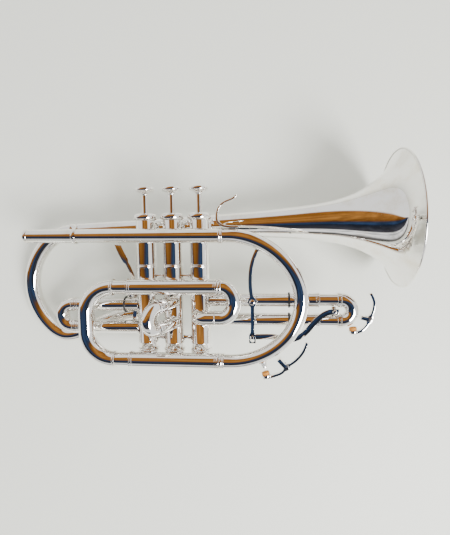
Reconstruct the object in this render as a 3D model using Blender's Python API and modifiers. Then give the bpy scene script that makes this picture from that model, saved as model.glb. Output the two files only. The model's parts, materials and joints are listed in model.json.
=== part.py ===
"""Cornet with a shepherd's crook, three piston valves and slide triggers.

Modelled in its own frame first: x runs forward to the bell, y up the valves to the
finger buttons, z out of the player's right side.  An empty then lays the whole
instrument on a table, resting on its bell rim and crook, with +Z up.
"""
import math

import bpy
import bmesh
import numpy as np
from mathutils import Matrix, Vector

MM = 0.001
GAP = 0.3                       # clearance between neighbouring pieces, in mm

# ---- driving dimensions, in mm ---------------------------------------------------
VALVE_PITCH = 24.0              # between neighbouring valve axes
VALVE_XS = (-VALVE_PITCH, 0.0, VALVE_PITCH)
CASING_RADIUS = 8.9
CASING_NECK_RADIUS = 8.3
CASING_BORE = 7.9
CASING_TOP = 42.0
CASING_NECK = 34.0
CASING_BOTTOM = -71.0
PISTON_RADIUS = 7.5
PISTON_TOP = 12.0
PISTON_BOTTOM = -46.0
STEM_RADIUS = 2.6
BUTTON_RADIUS = 8.2
BUTTON_TOP = 70.4
BUTTON_FOOT = 63.8

LEAD_Z = 16.8                   # plane of leadpipe, tuning slide and crossover bow
SLIDE_Z = -1.0                  # plane of the first and third valve slides
LEADPIPE_START = Vector((-79.6, 29.1, LEAD_Z))
LEADPIPE_END = Vector((42.0, 27.7, LEAD_Z))
RECEIVER_START = Vector((-126.8, 29.6, LEAD_Z))
TUBE_RADIUS = 6.0

BOW_CENTRE = (50.5, -25.3)      # the large leadpipe bow, a squashed half ring
BOW_REACH = 59.8
BOW_HEIGHT = 53.0

TUNING_UPPER_Y = -15.0
TUNING_LOWER_Y = -78.3
TUNING_BOW_X = -74.2
TUNING_CORNER = 24.0
TUNING_SLEEVE_LEFT = -36.2
TUNING_LEG_RADIUS = 5.95
TUNING_LEG_END = 34.0           # how far the inner legs reach into their sleeves
TUNING_FERRULE_RADIUS = 7.3
TUNING_BOW_RADIUS = 6.9
TUNING_SLEEVE_RADIUS = 6.8
CROSSOVER_X = 42.2
CROSSOVER_LOWER_Y = -41.5
CROSSOVER_RADIUS = 6.2

SLEEVE_RADIUS = 6.0             # outer sleeves of the three valve slides
SLEEVE_BEAD_RADIUS = 6.4
SLEEVE_BORE = 5.55
LEG_RADIUS = 5.15
FERRULE_RADIUS = 6.5
SLIDE_BOW_RADIUS = 5.9
FIRST_YS = (-33.0, -53.4)
FIRST_SLEEVE_LEFT = -91.8
SECOND_YS = (-26.9, -45.6)
SECOND_FOOT_X = 6.0
SECOND_SLANT = math.radians(36.0)
SECOND_DROP = -0.18
SECOND_SLEEVE_START = 5.0
SECOND_SLEEVE_OUT = 24.0
THIRD_YS = (-28.5, -46.1)
THIRD_SLEEVE_RIGHT = 126.5
THIRD_BOW_X = 145.0

BELL_TAIL = Vector((-92.0, 33.6, -15.2))
BELL_DIRECTION = Vector((1.0, 0.0235, -0.035)).normalized()
BELL_WALL = 0.7
RIM_RADIUS = 61.0
RIM_BEAD = 1.3
# distance along the bell from its tail, and outer radius there
BELL_OUTLINE = ((0.0, 7.3), (42.0, 8.2), (92.0, 9.25), (128.0, 10.3), (168.0, 12.0), (204.0, 14.9),
                (222.0, 17.2), (239.0, 20.7), (255.0, 26.4), (271.0, 35.6), (282.0, 45.8), (289.9, 60.0))
CROOK_END_Y = -43.6
CROOK_BACK_Z = -18.5

THIRD_PIVOT = Vector((69.8, -29.0, 0.0))
THIRD_ARM = 30.3                # pivot to link pin
FIRST_PIVOT = Vector((-39.6, -24.6, 0.0))
FIRST_ARM = 28.8
LEVER_THICKNESS = 1.6
THIRD_LEVER_Z = 8.4
THIRD_LINK_Z = 6.4
FIRST_LEVER_Z = -8.4
FIRST_LINK_Z = -10.6
PIN_RADIUS = 1.1
SLOT_HALF_WIDTH = 1.7

KEY_PIVOTS = (Vector((98.4, -81.2, LEAD_Z)), Vector((168.2, -44.6, SLIDE_Z)))
KEY_CUP_DEPTH = 1.8
CORK_DEPTH = 2.6
BUMPER_X = -44.4                # rubber ring on the first slide's upper sleeve

# how the instrument lies: bell end raised, then valve tops raised
REST_PITCH = math.radians(8.15)
REST_ROLL = math.radians(8.7)

SILVER = ((0.86, 0.85, 0.83), 1.0, 0.08)
CORK = ((0.78, 0.42, 0.12), 0.0, 0.80)
RUBBER = ((0.03, 0.03, 0.035), 0.0, 0.55)
STEEL = ((0.45, 0.46, 0.48), 1.0, 0.25)


# ---- scene helpers ---------------------------------------------------------------
def clear_scene():
    for thing in list(bpy.data.objects):
        bpy.data.objects.remove(thing, do_unlink=True)


def new_collection(name):
    collection = bpy.data.collections.new(name)
    bpy.context.scene.collection.children.link(collection)
    return collection


def make_material(name, look):
    colour, metallic, roughness = look
    material = bpy.data.materials.new(name)
    material.use_nodes = True
    shader = material.node_tree.nodes["Principled BSDF"]
    shader.inputs["Base Color"].default_value = (*colour, 1.0)
    shader.inputs["Metallic"].default_value = metallic
    shader.inputs["Roughness"].default_value = roughness
    return material


class Workshop:
    """Holds the collections and the empty that every piece hangs from."""

    def __init__(self):
        self.parts = new_collection("cornet")
        self.cutters = new_collection("cornet_cutters")
        self.root = self.add_empty("cornet_axes", None, Vector((0.0, 0.0, 0.0)))

    def add_empty(self, name, parent, place):
        empty = bpy.data.objects.new(name, None)
        self.parts.objects.link(empty)
        empty.parent = parent
        empty.location = place * MM
        return empty

    def add(self, name, data, look, place=Vector(), direction=None, parent=None):
        """Put data in the instrument frame, its local Z along direction."""
        piece = bpy.data.objects.new(name, data)
        self.parts.objects.link(piece)
        self.hang(piece, place, direction, parent)
        if look is not None:
            piece.data.materials.append(make_material(name, look))
        return piece

    def hang(self, piece, place, direction=None, parent=None):
        piece.parent = parent or self.root
        offset = parent.location / MM if parent else Vector()
        piece.location = (Vector(place) - offset) * MM
        if direction is not None:
            piece.rotation_mode = 'QUATERNION'
            piece.rotation_quaternion = Vector((0, 0, 1)).rotation_difference(Vector(direction))

    def add_cutter(self, name, data, place=Vector(), direction=None):
        cutter = bpy.data.objects.new(name, data)
        self.cutters.objects.link(cutter)
        self.hang(cutter, place, direction)
        cutter.hide_render = True
        cutter.display_type = 'WIRE'
        return cutter


# ---- shape helpers ---------------------------------------------------------------
def rod(radius, low, high):
    """Half outline of a solid rod, down its outer side."""
    return [(0.0, high), (radius, high), (radius, low), (0.0, low)]


def sleeve(outer, inner, low, high):
    """Closed outline of a hollow tube, down its outer side and back up its bore."""
    return [(outer, high), (outer, low), (inner, low), (inner, high)]


def profile_mesh(name, outline, closed):
    mesh = bpy.data.meshes.new(name)
    count = len(outline)
    edges = [(index, index + 1) for index in range(count - 1)]
    if closed:
        edges.append((count - 1, 0))
    mesh.from_pydata([(radius * MM, 0.0, height * MM) for radius, height in outline], edges, [])
    return mesh


def turn(piece, steps):
    """Spin the outline of a piece around its local Z."""
    screw = piece.modifiers.new("Turned", 'SCREW')
    screw.axis = 'Z'
    screw.steps = steps
    screw.render_steps = steps
    screw.use_merge_vertices = True
    screw.merge_threshold = 0.00001
    screw.use_smooth_shade = True
    return screw


def turned(shop, name, outline, look, place=Vector(), direction=(0, 0, 1), steps=20, closed=False):
    piece = shop.add(name, profile_mesh(name, outline, closed), look, place, direction)
    turn(piece, steps)
    return piece


def spline_through(points, count):
    """Evenly spaced points on the natural cubic spline through hand-chosen points."""
    knots = np.array([tuple(point) for point in points], dtype=float)
    spans = np.linalg.norm(np.diff(knots, axis=0), axis=1)
    stations = np.concatenate(([0.0], np.cumsum(spans)))
    size = len(knots)
    system = np.eye(size)
    right_side = np.zeros_like(knots)
    for row in range(1, size - 1):
        before, after = spans[row - 1], spans[row]
        system[row, row - 1:row + 2] = (before, 2.0 * (before + after), after)
        rise = (knots[row + 1] - knots[row]) / after - (knots[row] - knots[row - 1]) / before
        right_side[row] = 6.0 * rise
    bend = np.linalg.solve(system, right_side)
    result = []
    for station in np.linspace(0.0, stations[-1], count):
        index = min(int(np.searchsorted(stations, station, side="right")) - 1, size - 2)
        width = spans[index]
        ahead = (stations[index + 1] - station) / width
        back = 1.0 - ahead
        bulge = ((ahead ** 3 - ahead) * bend[index] + (back ** 3 - back) * bend[index + 1])
        result.append(ahead * knots[index] + back * knots[index + 1] + bulge * width ** 2 / 6.0)
    return [Vector(point) for point in result]


def arc(centre, across, along, start, end, count):
    """Points of an ellipse with half axes across and along, from start to end degrees."""
    angles = np.radians(np.linspace(start, end, count))
    return [centre + across * math.cos(angle) + along * math.sin(angle) for angle in angles]


def tube_curve(name, points, radii, sides):
    """A round rod along points, one radius each, with filled ends."""
    curve = bpy.data.curves.new(name, 'CURVE')
    curve.dimensions = '3D'
    curve.bevel_depth = MM
    curve.bevel_resolution = (sides - 4) // 2
    curve.use_fill_caps = True
    spline = curve.splines.new('POLY')
    spline.points.add(len(points) - 1)
    for slot, point, radius in zip(spline.points, points, radii):
        slot.co = (*(Vector(point) * MM), 1.0)
        slot.radius = radius
    spline.use_smooth = True
    return curve


def tube(shop, name, points, radii, look, sides=12):
    """A round rod through points of the instrument frame, with one radius or one for each."""
    if not hasattr(radii, "__len__"):
        radii = [radii] * len(points)
    return shop.add(name, tube_curve(name, points, radii, sides), look)


def band(points, widths):
    """Outline of a strip that follows points in the x-y plane, with a width at each."""
    path = [Vector(point) for point in points]
    left, right = [], []
    for index, point in enumerate(path):
        ahead = path[min(index + 1, len(path) - 1)] - path[max(index - 1, 0)]
        side = Vector((-ahead.y, ahead.x)).normalized() * widths[index] / 2.0
        left.append(point + side)
        right.append(point - side)
    return left + right[::-1]


def circle(centre, radius, count=16):
    return [Vector(centre) + Vector((math.cos(angle), math.sin(angle))) * radius
            for angle in np.linspace(0.0, 2.0 * math.pi, count, endpoint=False)]


def slot_outline(top, bottom, half_width, count=7):
    """A straight slot that runs in y from top to bottom, with round ends."""
    over = [Vector(top) + Vector((math.cos(angle), math.sin(angle))) * half_width
            for angle in np.linspace(0.0, math.pi, count)]
    under = [Vector(bottom) + Vector((math.cos(angle), math.sin(angle))) * half_width
             for angle in np.linspace(math.pi, 2.0 * math.pi, count)]
    return over + under


def plate_curve(name, outlines, thickness):
    """A flat piece in the x-y plane: the first outline is its edge, the others are holes."""
    curve = bpy.data.curves.new(name, 'CURVE')
    curve.dimensions = '2D'
    curve.fill_mode = 'BOTH'
    curve.extrude = thickness * MM / 2.0
    for outline in outlines:
        spline = curve.splines.new('POLY')
        spline.points.add(len(outline) - 1)
        for slot, point in zip(spline.points, outline):
            slot.co = (point[0] * MM, point[1] * MM, 0.0, 1.0)
        spline.use_cyclic_u = True
    return curve


def plate(shop, name, outlines, thickness, height, look, parent=None):
    """A flat piece whose middle lies at the given z of the instrument frame."""
    origin = parent.location / MM if parent else Vector()
    moved = [[(point[0] - origin.x, point[1] - origin.y) for point in outline] for outline in outlines]
    curve = plate_curve(name, moved, thickness)
    return shop.add(name, curve, look, Vector((origin.x, origin.y, height)), None, parent)


def box_mesh(name, size):
    mesh = bpy.data.meshes.new(name)
    shape = bmesh.new()
    bmesh.ops.create_cube(shape, size=1.0)
    bmesh.ops.scale(shape, vec=Vector(size) * MM, verts=shape.verts)
    shape.to_mesh(mesh)
    shape.free()
    return mesh


def cylinder_mesh(name, radius, length, steps=24):
    mesh = bpy.data.meshes.new(name)
    shape = bmesh.new()
    bmesh.ops.create_cone(shape, cap_ends=True, segments=steps, radius1=radius * MM,
                          radius2=radius * MM, depth=length * MM)
    shape.to_mesh(mesh)
    shape.free()
    return mesh


def as_mesh(piece):
    """Swap a curve object for the welded mesh of the same shape."""
    bpy.context.view_layer.update()
    depsgraph = bpy.context.evaluated_depsgraph_get()
    evaluated = piece.evaluated_get(depsgraph)
    mesh = bpy.data.meshes.new_from_object(evaluated)
    shape = bmesh.new()
    shape.from_mesh(mesh)
    bmesh.ops.remove_doubles(shape, verts=shape.verts, dist=0.000001)
    bmesh.ops.recalc_face_normals(shape, faces=shape.faces)
    shape.to_mesh(mesh)
    shape.free()
    name, parent, place = piece.name, piece.parent, piece.location.copy()
    collection = piece.users_collection[0]
    bpy.data.objects.remove(piece, do_unlink=True)
    solid = bpy.data.objects.new(name, mesh)
    collection.objects.link(solid)
    solid.parent = parent
    solid.location = place
    return solid


def combine(piece, tool, operation):
    step = piece.modifiers.new(operation.title(), 'BOOLEAN')
    step.operation = operation
    step.solver = 'EXACT'
    step.object = tool
    return step


def soften(piece):
    """Smooth shading that keeps edges over 35 degrees sharp."""
    mesh = piece.data
    mesh.shade_smooth()
    mesh.set_sharp_from_angle(angle=math.radians(35.0))
    return piece


# ---- valves ----------------------------------------------------------------------
def build_casings(shop):
    """Three casings, and a closed cylinder a little larger than each to saddle tubes on."""
    saddles = []
    outline = [(CASING_NECK_RADIUS, CASING_TOP), (CASING_NECK_RADIUS, CASING_NECK),
               (CASING_RADIUS, CASING_NECK - 0.6), (CASING_RADIUS, 3.2), (9.3, 2.9), (9.3, 0.8),
               (CASING_RADIUS, 0.5), (CASING_RADIUS, CASING_BOTTOM), (CASING_BORE, CASING_BOTTOM),
               (CASING_BORE, CASING_TOP)]
    for number, x in enumerate(VALVE_XS, start=1):
        place = Vector((x, 0.0, 0.0))
        turned(shop, f"valve_casing_{number}", outline, SILVER, place, (0, 1, 0), closed=True)
        middle = Vector((x, (CASING_TOP + CASING_BOTTOM) / 2.0, 0.0))
        block = cylinder_mesh(f"saddle_{number}", CASING_RADIUS + GAP, 140.0, steps=32)
        saddles.append(shop.add_cutter(f"saddle_{number}", block, middle, (0, 1, 0)))
    return saddles


def build_bridges(shop):
    """Short braces soldered between neighbouring casings."""
    reach = VALVE_PITCH / 2.0 - CASING_RADIUS - GAP
    for level, y, radius in (("upper", -7.0, 1.9), ("lower", -62.0, 2.6)):
        for name, x in (("12", -VALVE_PITCH / 2.0), ("23", VALVE_PITCH / 2.0)):
            outline = [(0.0, reach), (radius, reach), (radius * 0.7, 0.0), (radius, -reach), (0.0, -reach)]
            turned(shop, f"casing_brace_{name}_{level}", outline, SILVER, (x, y, 0.0), (1, 0, 0), steps=16)


def build_caps(shop):
    top = [(10.3, 46.4), (10.3, 43.0), (9.9, 42.6), (9.0, CASING_TOP + GAP), (3.2, CASING_TOP + GAP),
           (3.2, 47.7), (8.6, 47.7), (9.3, 46.9)]
    floor = CASING_BOTTOM - GAP
    bottom = [(0.0, floor - 8.6), (7.4, floor - 8.6), (7.4, floor), (9.3, floor), (9.6, floor - 0.5),
              (9.6, floor - 4.2), (9.2, floor - 4.8), (9.0, floor - 8.6), (8.2, floor - 9.6),
              (0.0, floor - 9.6)]
    for number, x in enumerate(VALVE_XS, start=1):
        turned(shop, f"top_cap_{number}", top, SILVER, (x, 0.0, 0.0), (0, 1, 0), closed=True)
        turned(shop, f"bottom_cap_{number}", bottom, SILVER, (x, 0.0, 0.0), (0, 1, 0))


def build_valve(shop, number, x):
    """Piston, stem, button and return spring of one valve."""
    place = Vector((x, 0.0, 0.0))
    piston = [(0.0, PISTON_TOP), (6.6, PISTON_TOP), (PISTON_RADIUS, PISTON_TOP - 0.9),
              (PISTON_RADIUS, PISTON_BOTTOM), (6.9, PISTON_BOTTOM), (6.9, PISTON_TOP - 2.0),
              (0.0, PISTON_TOP - 2.0)]
    turned(shop, f"piston_{number}", piston, SILVER, place, (0, 1, 0))
    stem = [(0.0, BUTTON_FOOT - GAP), (STEM_RADIUS, BUTTON_FOOT - GAP), (STEM_RADIUS, PISTON_TOP + 3.3),
            (5.0, PISTON_TOP + 2.3), (5.0, PISTON_TOP + GAP), (0.0, PISTON_TOP + GAP)]
    turned(shop, f"valve_stem_{number}", stem, SILVER, place, (0, 1, 0), steps=16)
    button = [(0.0, BUTTON_TOP), (7.3, BUTTON_TOP), (8.0, BUTTON_TOP - 0.5),
              (BUTTON_RADIUS, BUTTON_TOP - 1.2), (BUTTON_RADIUS, BUTTON_TOP - 2.6),
              (7.4, BUTTON_TOP - 3.4), (4.6, BUTTON_TOP - 4.6), (3.3, BUTTON_FOOT + 0.8),
              (3.1, BUTTON_FOOT), (0.0, BUTTON_FOOT)]
    turned(shop, f"finger_button_{number}", button, SILVER, place, (0, 1, 0))
    turns, per_turn, wire = 4, 8, 0.45
    low, high = CASING_BOTTOM - 8.1, PISTON_BOTTOM - wire - GAP
    steps = np.linspace(0.0, 1.0, turns * per_turn + 1)
    coil = [Vector((x + 6.2 * math.cos(math.tau * turns * step), low + (high - low) * step,
                    6.2 * math.sin(math.tau * turns * step))) for step in steps]
    tube(shop, f"valve_spring_{number}", coil, wire, STEEL, sides=8)


# ---- leadpipe, its bow and the receiver --------------------------------------------
def build_receiver(shop):
    run = LEADPIPE_START - RECEIVER_START
    length = run.length - GAP
    outline = [(0.0, length), (6.9, length), (6.9, length - 2.6), (6.1, length - 3.2), (5.7, 3.0),
               (6.0, 2.4), (6.0, 0.4), (5.7, 0.0), (4.8, 0.0), (4.3, 24.0), (0.0, 24.0)]
    turned(shop, "mouthpiece_receiver", outline, SILVER, RECEIVER_START, run, steps=20)


def build_leadpipe(shop):
    run = LEADPIPE_END - LEADPIPE_START
    length = run.length - GAP
    outline = [(0.0, length), (TUBE_RADIUS, length), (TUBE_RADIUS, 40.0), (5.8, 0.0), (0.0, 0.0)]
    turned(shop, "leadpipe", outline, SILVER, LEADPIPE_START, run, steps=20)


def squashed_half_ring(count):
    """The large bow: a half ellipse whose upper half is a little flattened at its corner."""
    points = []
    for angle in np.radians(np.linspace(90.0, -90.0, count)):
        power = 1.85 if angle > 0.0 else 2.0
        reach = abs(math.cos(angle)) ** (2.0 / power)
        rise = math.copysign(abs(math.sin(angle)) ** (2.0 / power), angle)
        x = BOW_CENTRE[0] + BOW_REACH * reach
        y = BOW_CENTRE[1] + BOW_HEIGHT * rise
        points.append(Vector((x, y, LEAD_Z)))
    return points


def build_leadpipe_bow(shop):
    start = Vector((LEADPIPE_END.x + GAP, BOW_CENTRE[1] + BOW_HEIGHT, LEAD_Z))
    finish = Vector((CROSSOVER_X + GAP, BOW_CENTRE[1] - BOW_HEIGHT, LEAD_Z))
    points = [start] + squashed_half_ring(25) + [finish]
    bow = as_mesh(tube(shop, "leadpipe_bow", points, TUBE_RADIUS, None))
    bow.data.materials.append(make_material("leadpipe_bow", SILVER))
    nipple = cylinder_mesh("nipple_1", 2.2, 5.0, steps=12)
    tool = shop.add_cutter("nipple_1", nipple, (79.6, -80.3, LEAD_Z), (0.28, -1.0, 0.0))
    combine(bow, tool, 'UNION')
    for name, y in (("upper", start.y), ("lower", finish.y)):
        outline = sleeve(7.0, TUBE_RADIUS + GAP, -1.6, 1.6)
        place = (start.x + 2.6, y, LEAD_Z)
        turned(shop, f"leadpipe_ferrule_{name}", outline, SILVER, place, (1, 0, 0), steps=20, closed=True)


def build_finger_hook(shop):
    path = spline_through([(60.5, 34.7), (51.0, 35.0), (44.4, 37.2), (42.0, 41.2), (42.2, 46.2),
                           (43.8, 50.6), (46.8, 53.8), (51.0, 56.0), (55.2, 57.6), (58.6, 60.6)], 30)
    widths = [1.7] * len(path)
    for index, width in enumerate((1.1, 1.4)):
        widths[index] = width
        widths[-1 - index] = width
    plate(shop, "finger_hook", [band(path, widths)], 6.6, LEAD_Z, SILVER)


# ---- main tuning slide and crossover -----------------------------------------------
def build_tuning_slide(shop):
    """One long U: two inner legs, a ferrule on each and the wide bow."""
    shoulder = TUNING_BOW_X + TUNING_CORNER
    upper = Vector((shoulder, TUNING_UPPER_Y, LEAD_Z))
    lower = Vector((shoulder, TUNING_LOWER_Y, LEAD_Z))
    left = Vector((TUNING_CORNER, 0.0, 0.0))
    down = Vector((0.0, TUNING_CORNER, 0.0))
    leg = Vector((TUNING_LEG_END - shoulder, 0.0, 0.0))
    points, radii = [], []

    def extend(route, radius):
        points.extend(route)
        radii.extend([radius] * len(route))

    step = Vector((0.05, 0.0, 0.0))
    ferrule = Vector((1.8, 0.0, 0.0))
    extend([upper + leg, upper + ferrule + step], TUNING_LEG_RADIUS)
    extend([upper + ferrule, upper + step], TUNING_FERRULE_RADIUS)
    extend(arc(upper - down, -left, down, 90.0, 0.0, 8), TUNING_BOW_RADIUS)
    extend(arc(lower + down, -left, down, 0.0, -90.0, 8), TUNING_BOW_RADIUS)
    extend([lower + step, lower + ferrule], TUNING_FERRULE_RADIUS)
    extend([lower + ferrule + step, lower + leg], TUNING_LEG_RADIUS)
    tube(shop, "main_tuning_slide", points, radii, SILVER)
    length = CROSSOVER_X - GAP - TUNING_SLEEVE_LEFT
    bore = TUNING_LEG_RADIUS + 0.35
    for name, y in (("upper", TUNING_UPPER_Y), ("lower", TUNING_LOWER_Y)):
        outline = [(TUNING_FERRULE_RADIUS, length), (TUNING_FERRULE_RADIUS, length - 2.0),
                   (TUNING_SLEEVE_RADIUS, length - 2.3), (TUNING_SLEEVE_RADIUS, 2.2), (7.4, 1.9),
                   (7.4, 0.3), (7.0, 0.0), (bore, 0.0), (bore, length)]
        place = (TUNING_SLEEVE_LEFT, y, LEAD_Z)
        turned(shop, f"tuning_sleeve_{name}", outline, SILVER, place, (1, 0, 0), steps=20, closed=True)


def build_crossover(shop, saddle):
    """Short bow from the tuning slide back to the side of the third valve."""
    radius = (TUNING_UPPER_Y - CROSSOVER_LOWER_Y) / 2.0
    start = Vector((CROSSOVER_X + GAP, TUNING_UPPER_Y, LEAD_Z))
    centre = start + Vector((1.0, -radius, 0.0))
    right, up = Vector((radius - 1.4, 0.0, 0.0)), Vector((0.0, radius, 0.0))
    turn_radius = 6.8
    elbow = Vector((VALVE_XS[2] + turn_radius, CROSSOVER_LOWER_Y, LEAD_Z - turn_radius))
    back, out = Vector((-turn_radius, 0.0, 0.0)), Vector((0.0, 0.0, turn_radius))
    points = [start] + arc(centre, right, up, 90.0, -90.0, 15)
    points += arc(elbow, back, out, 90.0, 0.0, 7)
    points.append(Vector((VALVE_XS[2], CROSSOVER_LOWER_Y, 5.2)))
    bow = as_mesh(tube(shop, "crossover_bow", points, CROSSOVER_RADIUS, None))
    bow.data.materials.append(make_material("crossover_bow", SILVER))
    combine(bow, saddle, 'DIFFERENCE')


# ---- valve slides ------------------------------------------------------------------
def u_slide(shop, name, upper, lower, direction, leg):
    """Two inner legs, small ferrules and a half-ring bow that points along direction."""
    heading = Vector(direction)
    middle = (upper + lower) / 2.0
    half = (upper - lower) / 2.0
    inward = heading * -leg
    step = heading * 0.05
    neck = heading * 3.4
    points = [upper + inward, upper - step, upper, upper + neck]
    radii = [LEG_RADIUS, LEG_RADIUS, FERRULE_RADIUS, FERRULE_RADIUS]
    bow = arc(middle + neck + step, heading * half.length, half, 90.0, -90.0, 13)
    points += bow + [lower + neck, lower, lower - step, lower + inward]
    radii += [SLIDE_BOW_RADIUS] * len(bow) + [FERRULE_RADIUS, FERRULE_RADIUS, LEG_RADIUS, LEG_RADIUS]
    return tube(shop, name, points, radii, SILVER)


def slide_sleeve(shop, name, foot, direction, length, saddle):
    """Outer sleeve from a casing, saddled to it, with a bead at its open end."""
    outline = [(SLEEVE_BEAD_RADIUS, length), (SLEEVE_BEAD_RADIUS, length - 1.6),
               (SLEEVE_RADIUS, length - 2.0), (SLEEVE_RADIUS, 0.0), (SLEEVE_BORE, 0.0),
               (SLEEVE_BORE, length)]
    piece = turned(shop, name, outline, SILVER, foot, direction, steps=20, closed=True)
    combine(piece, saddle, 'DIFFERENCE')
    return piece


def build_first_slide(shop, saddle):
    foot_x = VALVE_XS[0] - 4.0
    feet = [Vector((foot_x, y, SLIDE_Z)) for y in FIRST_YS]
    length = foot_x - FIRST_SLEEVE_LEFT
    for name, foot in zip(("upper", "lower"), feet):
        slide_sleeve(shop, f"first_sleeve_{name}", foot, (-1, 0, 0), length, saddle)
    ends = [Vector((FIRST_SLEEVE_LEFT - GAP, y, SLIDE_Z)) for y in FIRST_YS]
    u_slide(shop, "first_slide", ends[0], ends[1], (-1, 0, 0), 52.0)
    ring = [(6.8 + 0.6 * math.cos(angle), 0.6 * math.sin(angle))
            for angle in np.linspace(math.tau, 0.0, 8, endpoint=False)]
    place = (BUMPER_X, FIRST_YS[0], SLIDE_Z)
    turned(shop, "first_slide_bumper", ring, RUBBER, place, (1, 0, 0), closed=True)


def build_second_slide(shop, saddle):
    heading = Vector((-math.sin(SECOND_SLANT), SECOND_DROP, math.cos(SECOND_SLANT))).normalized()
    length = SECOND_SLEEVE_OUT - SECOND_SLEEVE_START
    for name, y in zip(("upper", "lower"), SECOND_YS):
        foot = Vector((SECOND_FOOT_X, y, 0.0)) + heading * SECOND_SLEEVE_START
        slide_sleeve(shop, f"second_sleeve_{name}", foot, heading, length, saddle)
    ends = [Vector((SECOND_FOOT_X, y, 0.0)) + heading * (SECOND_SLEEVE_OUT + GAP) for y in SECOND_YS]
    u_slide(shop, "second_slide", ends[0], ends[1], heading, 11.0)


def build_third_slide(shop, saddle):
    foot_x = VALVE_XS[2] + 4.0
    for name, y in zip(("upper", "lower"), THIRD_YS):
        foot = Vector((foot_x, y, SLIDE_Z))
        slide_sleeve(shop, f"third_sleeve_{name}", foot, (1, 0, 0), THIRD_SLEEVE_RIGHT - foot_x, saddle)
    ends = [Vector((THIRD_BOW_X - 3.4, y, SLIDE_Z)) for y in THIRD_YS]
    slide = as_mesh(u_slide(shop, "third_slide", ends[0], ends[1], (1, 0, 0), 100.0))
    slide.data.materials.append(make_material("third_slide", SILVER))
    nipple = cylinder_mesh("nipple_2", 2.2, 5.0, steps=12)
    tool = shop.add_cutter("nipple_2", nipple, (154.4, -44.8, SLIDE_Z), (0.12, -1.0, 0.0))
    combine(slide, tool, 'UNION')
    gap_y = (THIRD_YS[0] - THIRD_YS[1]) - 2.0 * LEG_RADIUS - 2.0 * GAP
    middle = Vector((138.6, sum(THIRD_YS) / 2.0, SLIDE_Z))
    brace = shop.add("third_slide_brace", box_mesh("third_slide_brace", (3.4, gap_y, 4.0)), SILVER, middle)
    peg = cylinder_mesh("brace_peg", 1.5, 9.0, steps=16)
    combine(brace, shop.add_cutter("brace_peg", peg, middle + Vector((0.0, 0.0, 4.2))), 'UNION')
    return middle


# ---- bell and crook ------------------------------------------------------------------
def bell_outline():
    """Closed outline: rim bead, outer side down to the tail, then up the bore."""
    knots = [(station, radius, 0.0) for station, radius in BELL_OUTLINE]
    curve = spline_through(knots, 18)
    outer = [(point[1], point[0]) for point in curve][::-1]
    inner = []
    for index, (radius, height) in enumerate(outer):
        before = outer[max(index - 1, 0)]
        after = outer[min(index + 1, len(outer) - 1)]
        along = Vector((after[0] - before[0], after[1] - before[1])).normalized()
        inner.append((radius + along.y * BELL_WALL, height - along.x * BELL_WALL))
    inner[0] = (outer[0][0] - 0.9, outer[0][1] + 0.5)
    inner[-1] = (outer[-1][0] - BELL_WALL, 0.0)
    rim_radius = RIM_RADIUS - RIM_BEAD
    rim_height = outer[0][1] + 0.2
    bead = [(rim_radius + RIM_BEAD * math.cos(angle), rim_height + RIM_BEAD * math.sin(angle))
            for angle in np.radians(np.linspace(115.0, -75.0, 5))]
    return bead + outer[1:] + inner[:0:-1]


def build_bell(shop):
    turned(shop, "bell", bell_outline(), SILVER, BELL_TAIL, BELL_DIRECTION, steps=32, closed=True)


def build_crook(shop, saddle):
    """The shepherd's crook: from the bell's tail, round and back to the first valve."""
    rings = 36
    tail = BELL_TAIL - BELL_DIRECTION * GAP
    corner = 7.0
    elbow = Vector((VALVE_XS[0] - corner, CROOK_END_Y, CROOK_BACK_Z + corner))
    route = [tail, tail - BELL_DIRECTION * 4.0, (-115.0, 29.4, -15.2), (-131.6, 15.6, -16.1),
             (-141.6, -4.0, -17.1), (-143.4, -23.0, -17.8), (-138.4, -41.0, -18.2), (-127.6, -56.6, -18.4),
             (-113.5, -65.6, -18.5), (-100.0, -64.4, -18.5), (-83.0, -56.6, -18.5), (-62.0, -48.4, -18.5),
             (-44.0, -44.4, -18.5), elbow - Vector((3.0, 0.0, corner)), elbow - Vector((0.0, 0.0, corner))]
    points = spline_through(route, rings)
    radii = list(np.interp(np.linspace(0.0, 1.0, rings), (0.0, 0.45, 0.75, 1.0), (7.3, 7.2, 6.5, 6.1)))
    back, right = Vector((0.0, 0.0, -corner)), Vector((corner, 0.0, 0.0))
    points += arc(elbow, back, right, 0.0, 90.0, 6)[1:] + [Vector((VALVE_XS[0], CROOK_END_Y, -6.4))]
    radii += [6.1] * 6
    crook = as_mesh(tube(shop, "bell_crook", points, radii, None))
    crook.data.materials.append(make_material("bell_crook", SILVER))
    combine(crook, saddle, 'DIFFERENCE')


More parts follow.
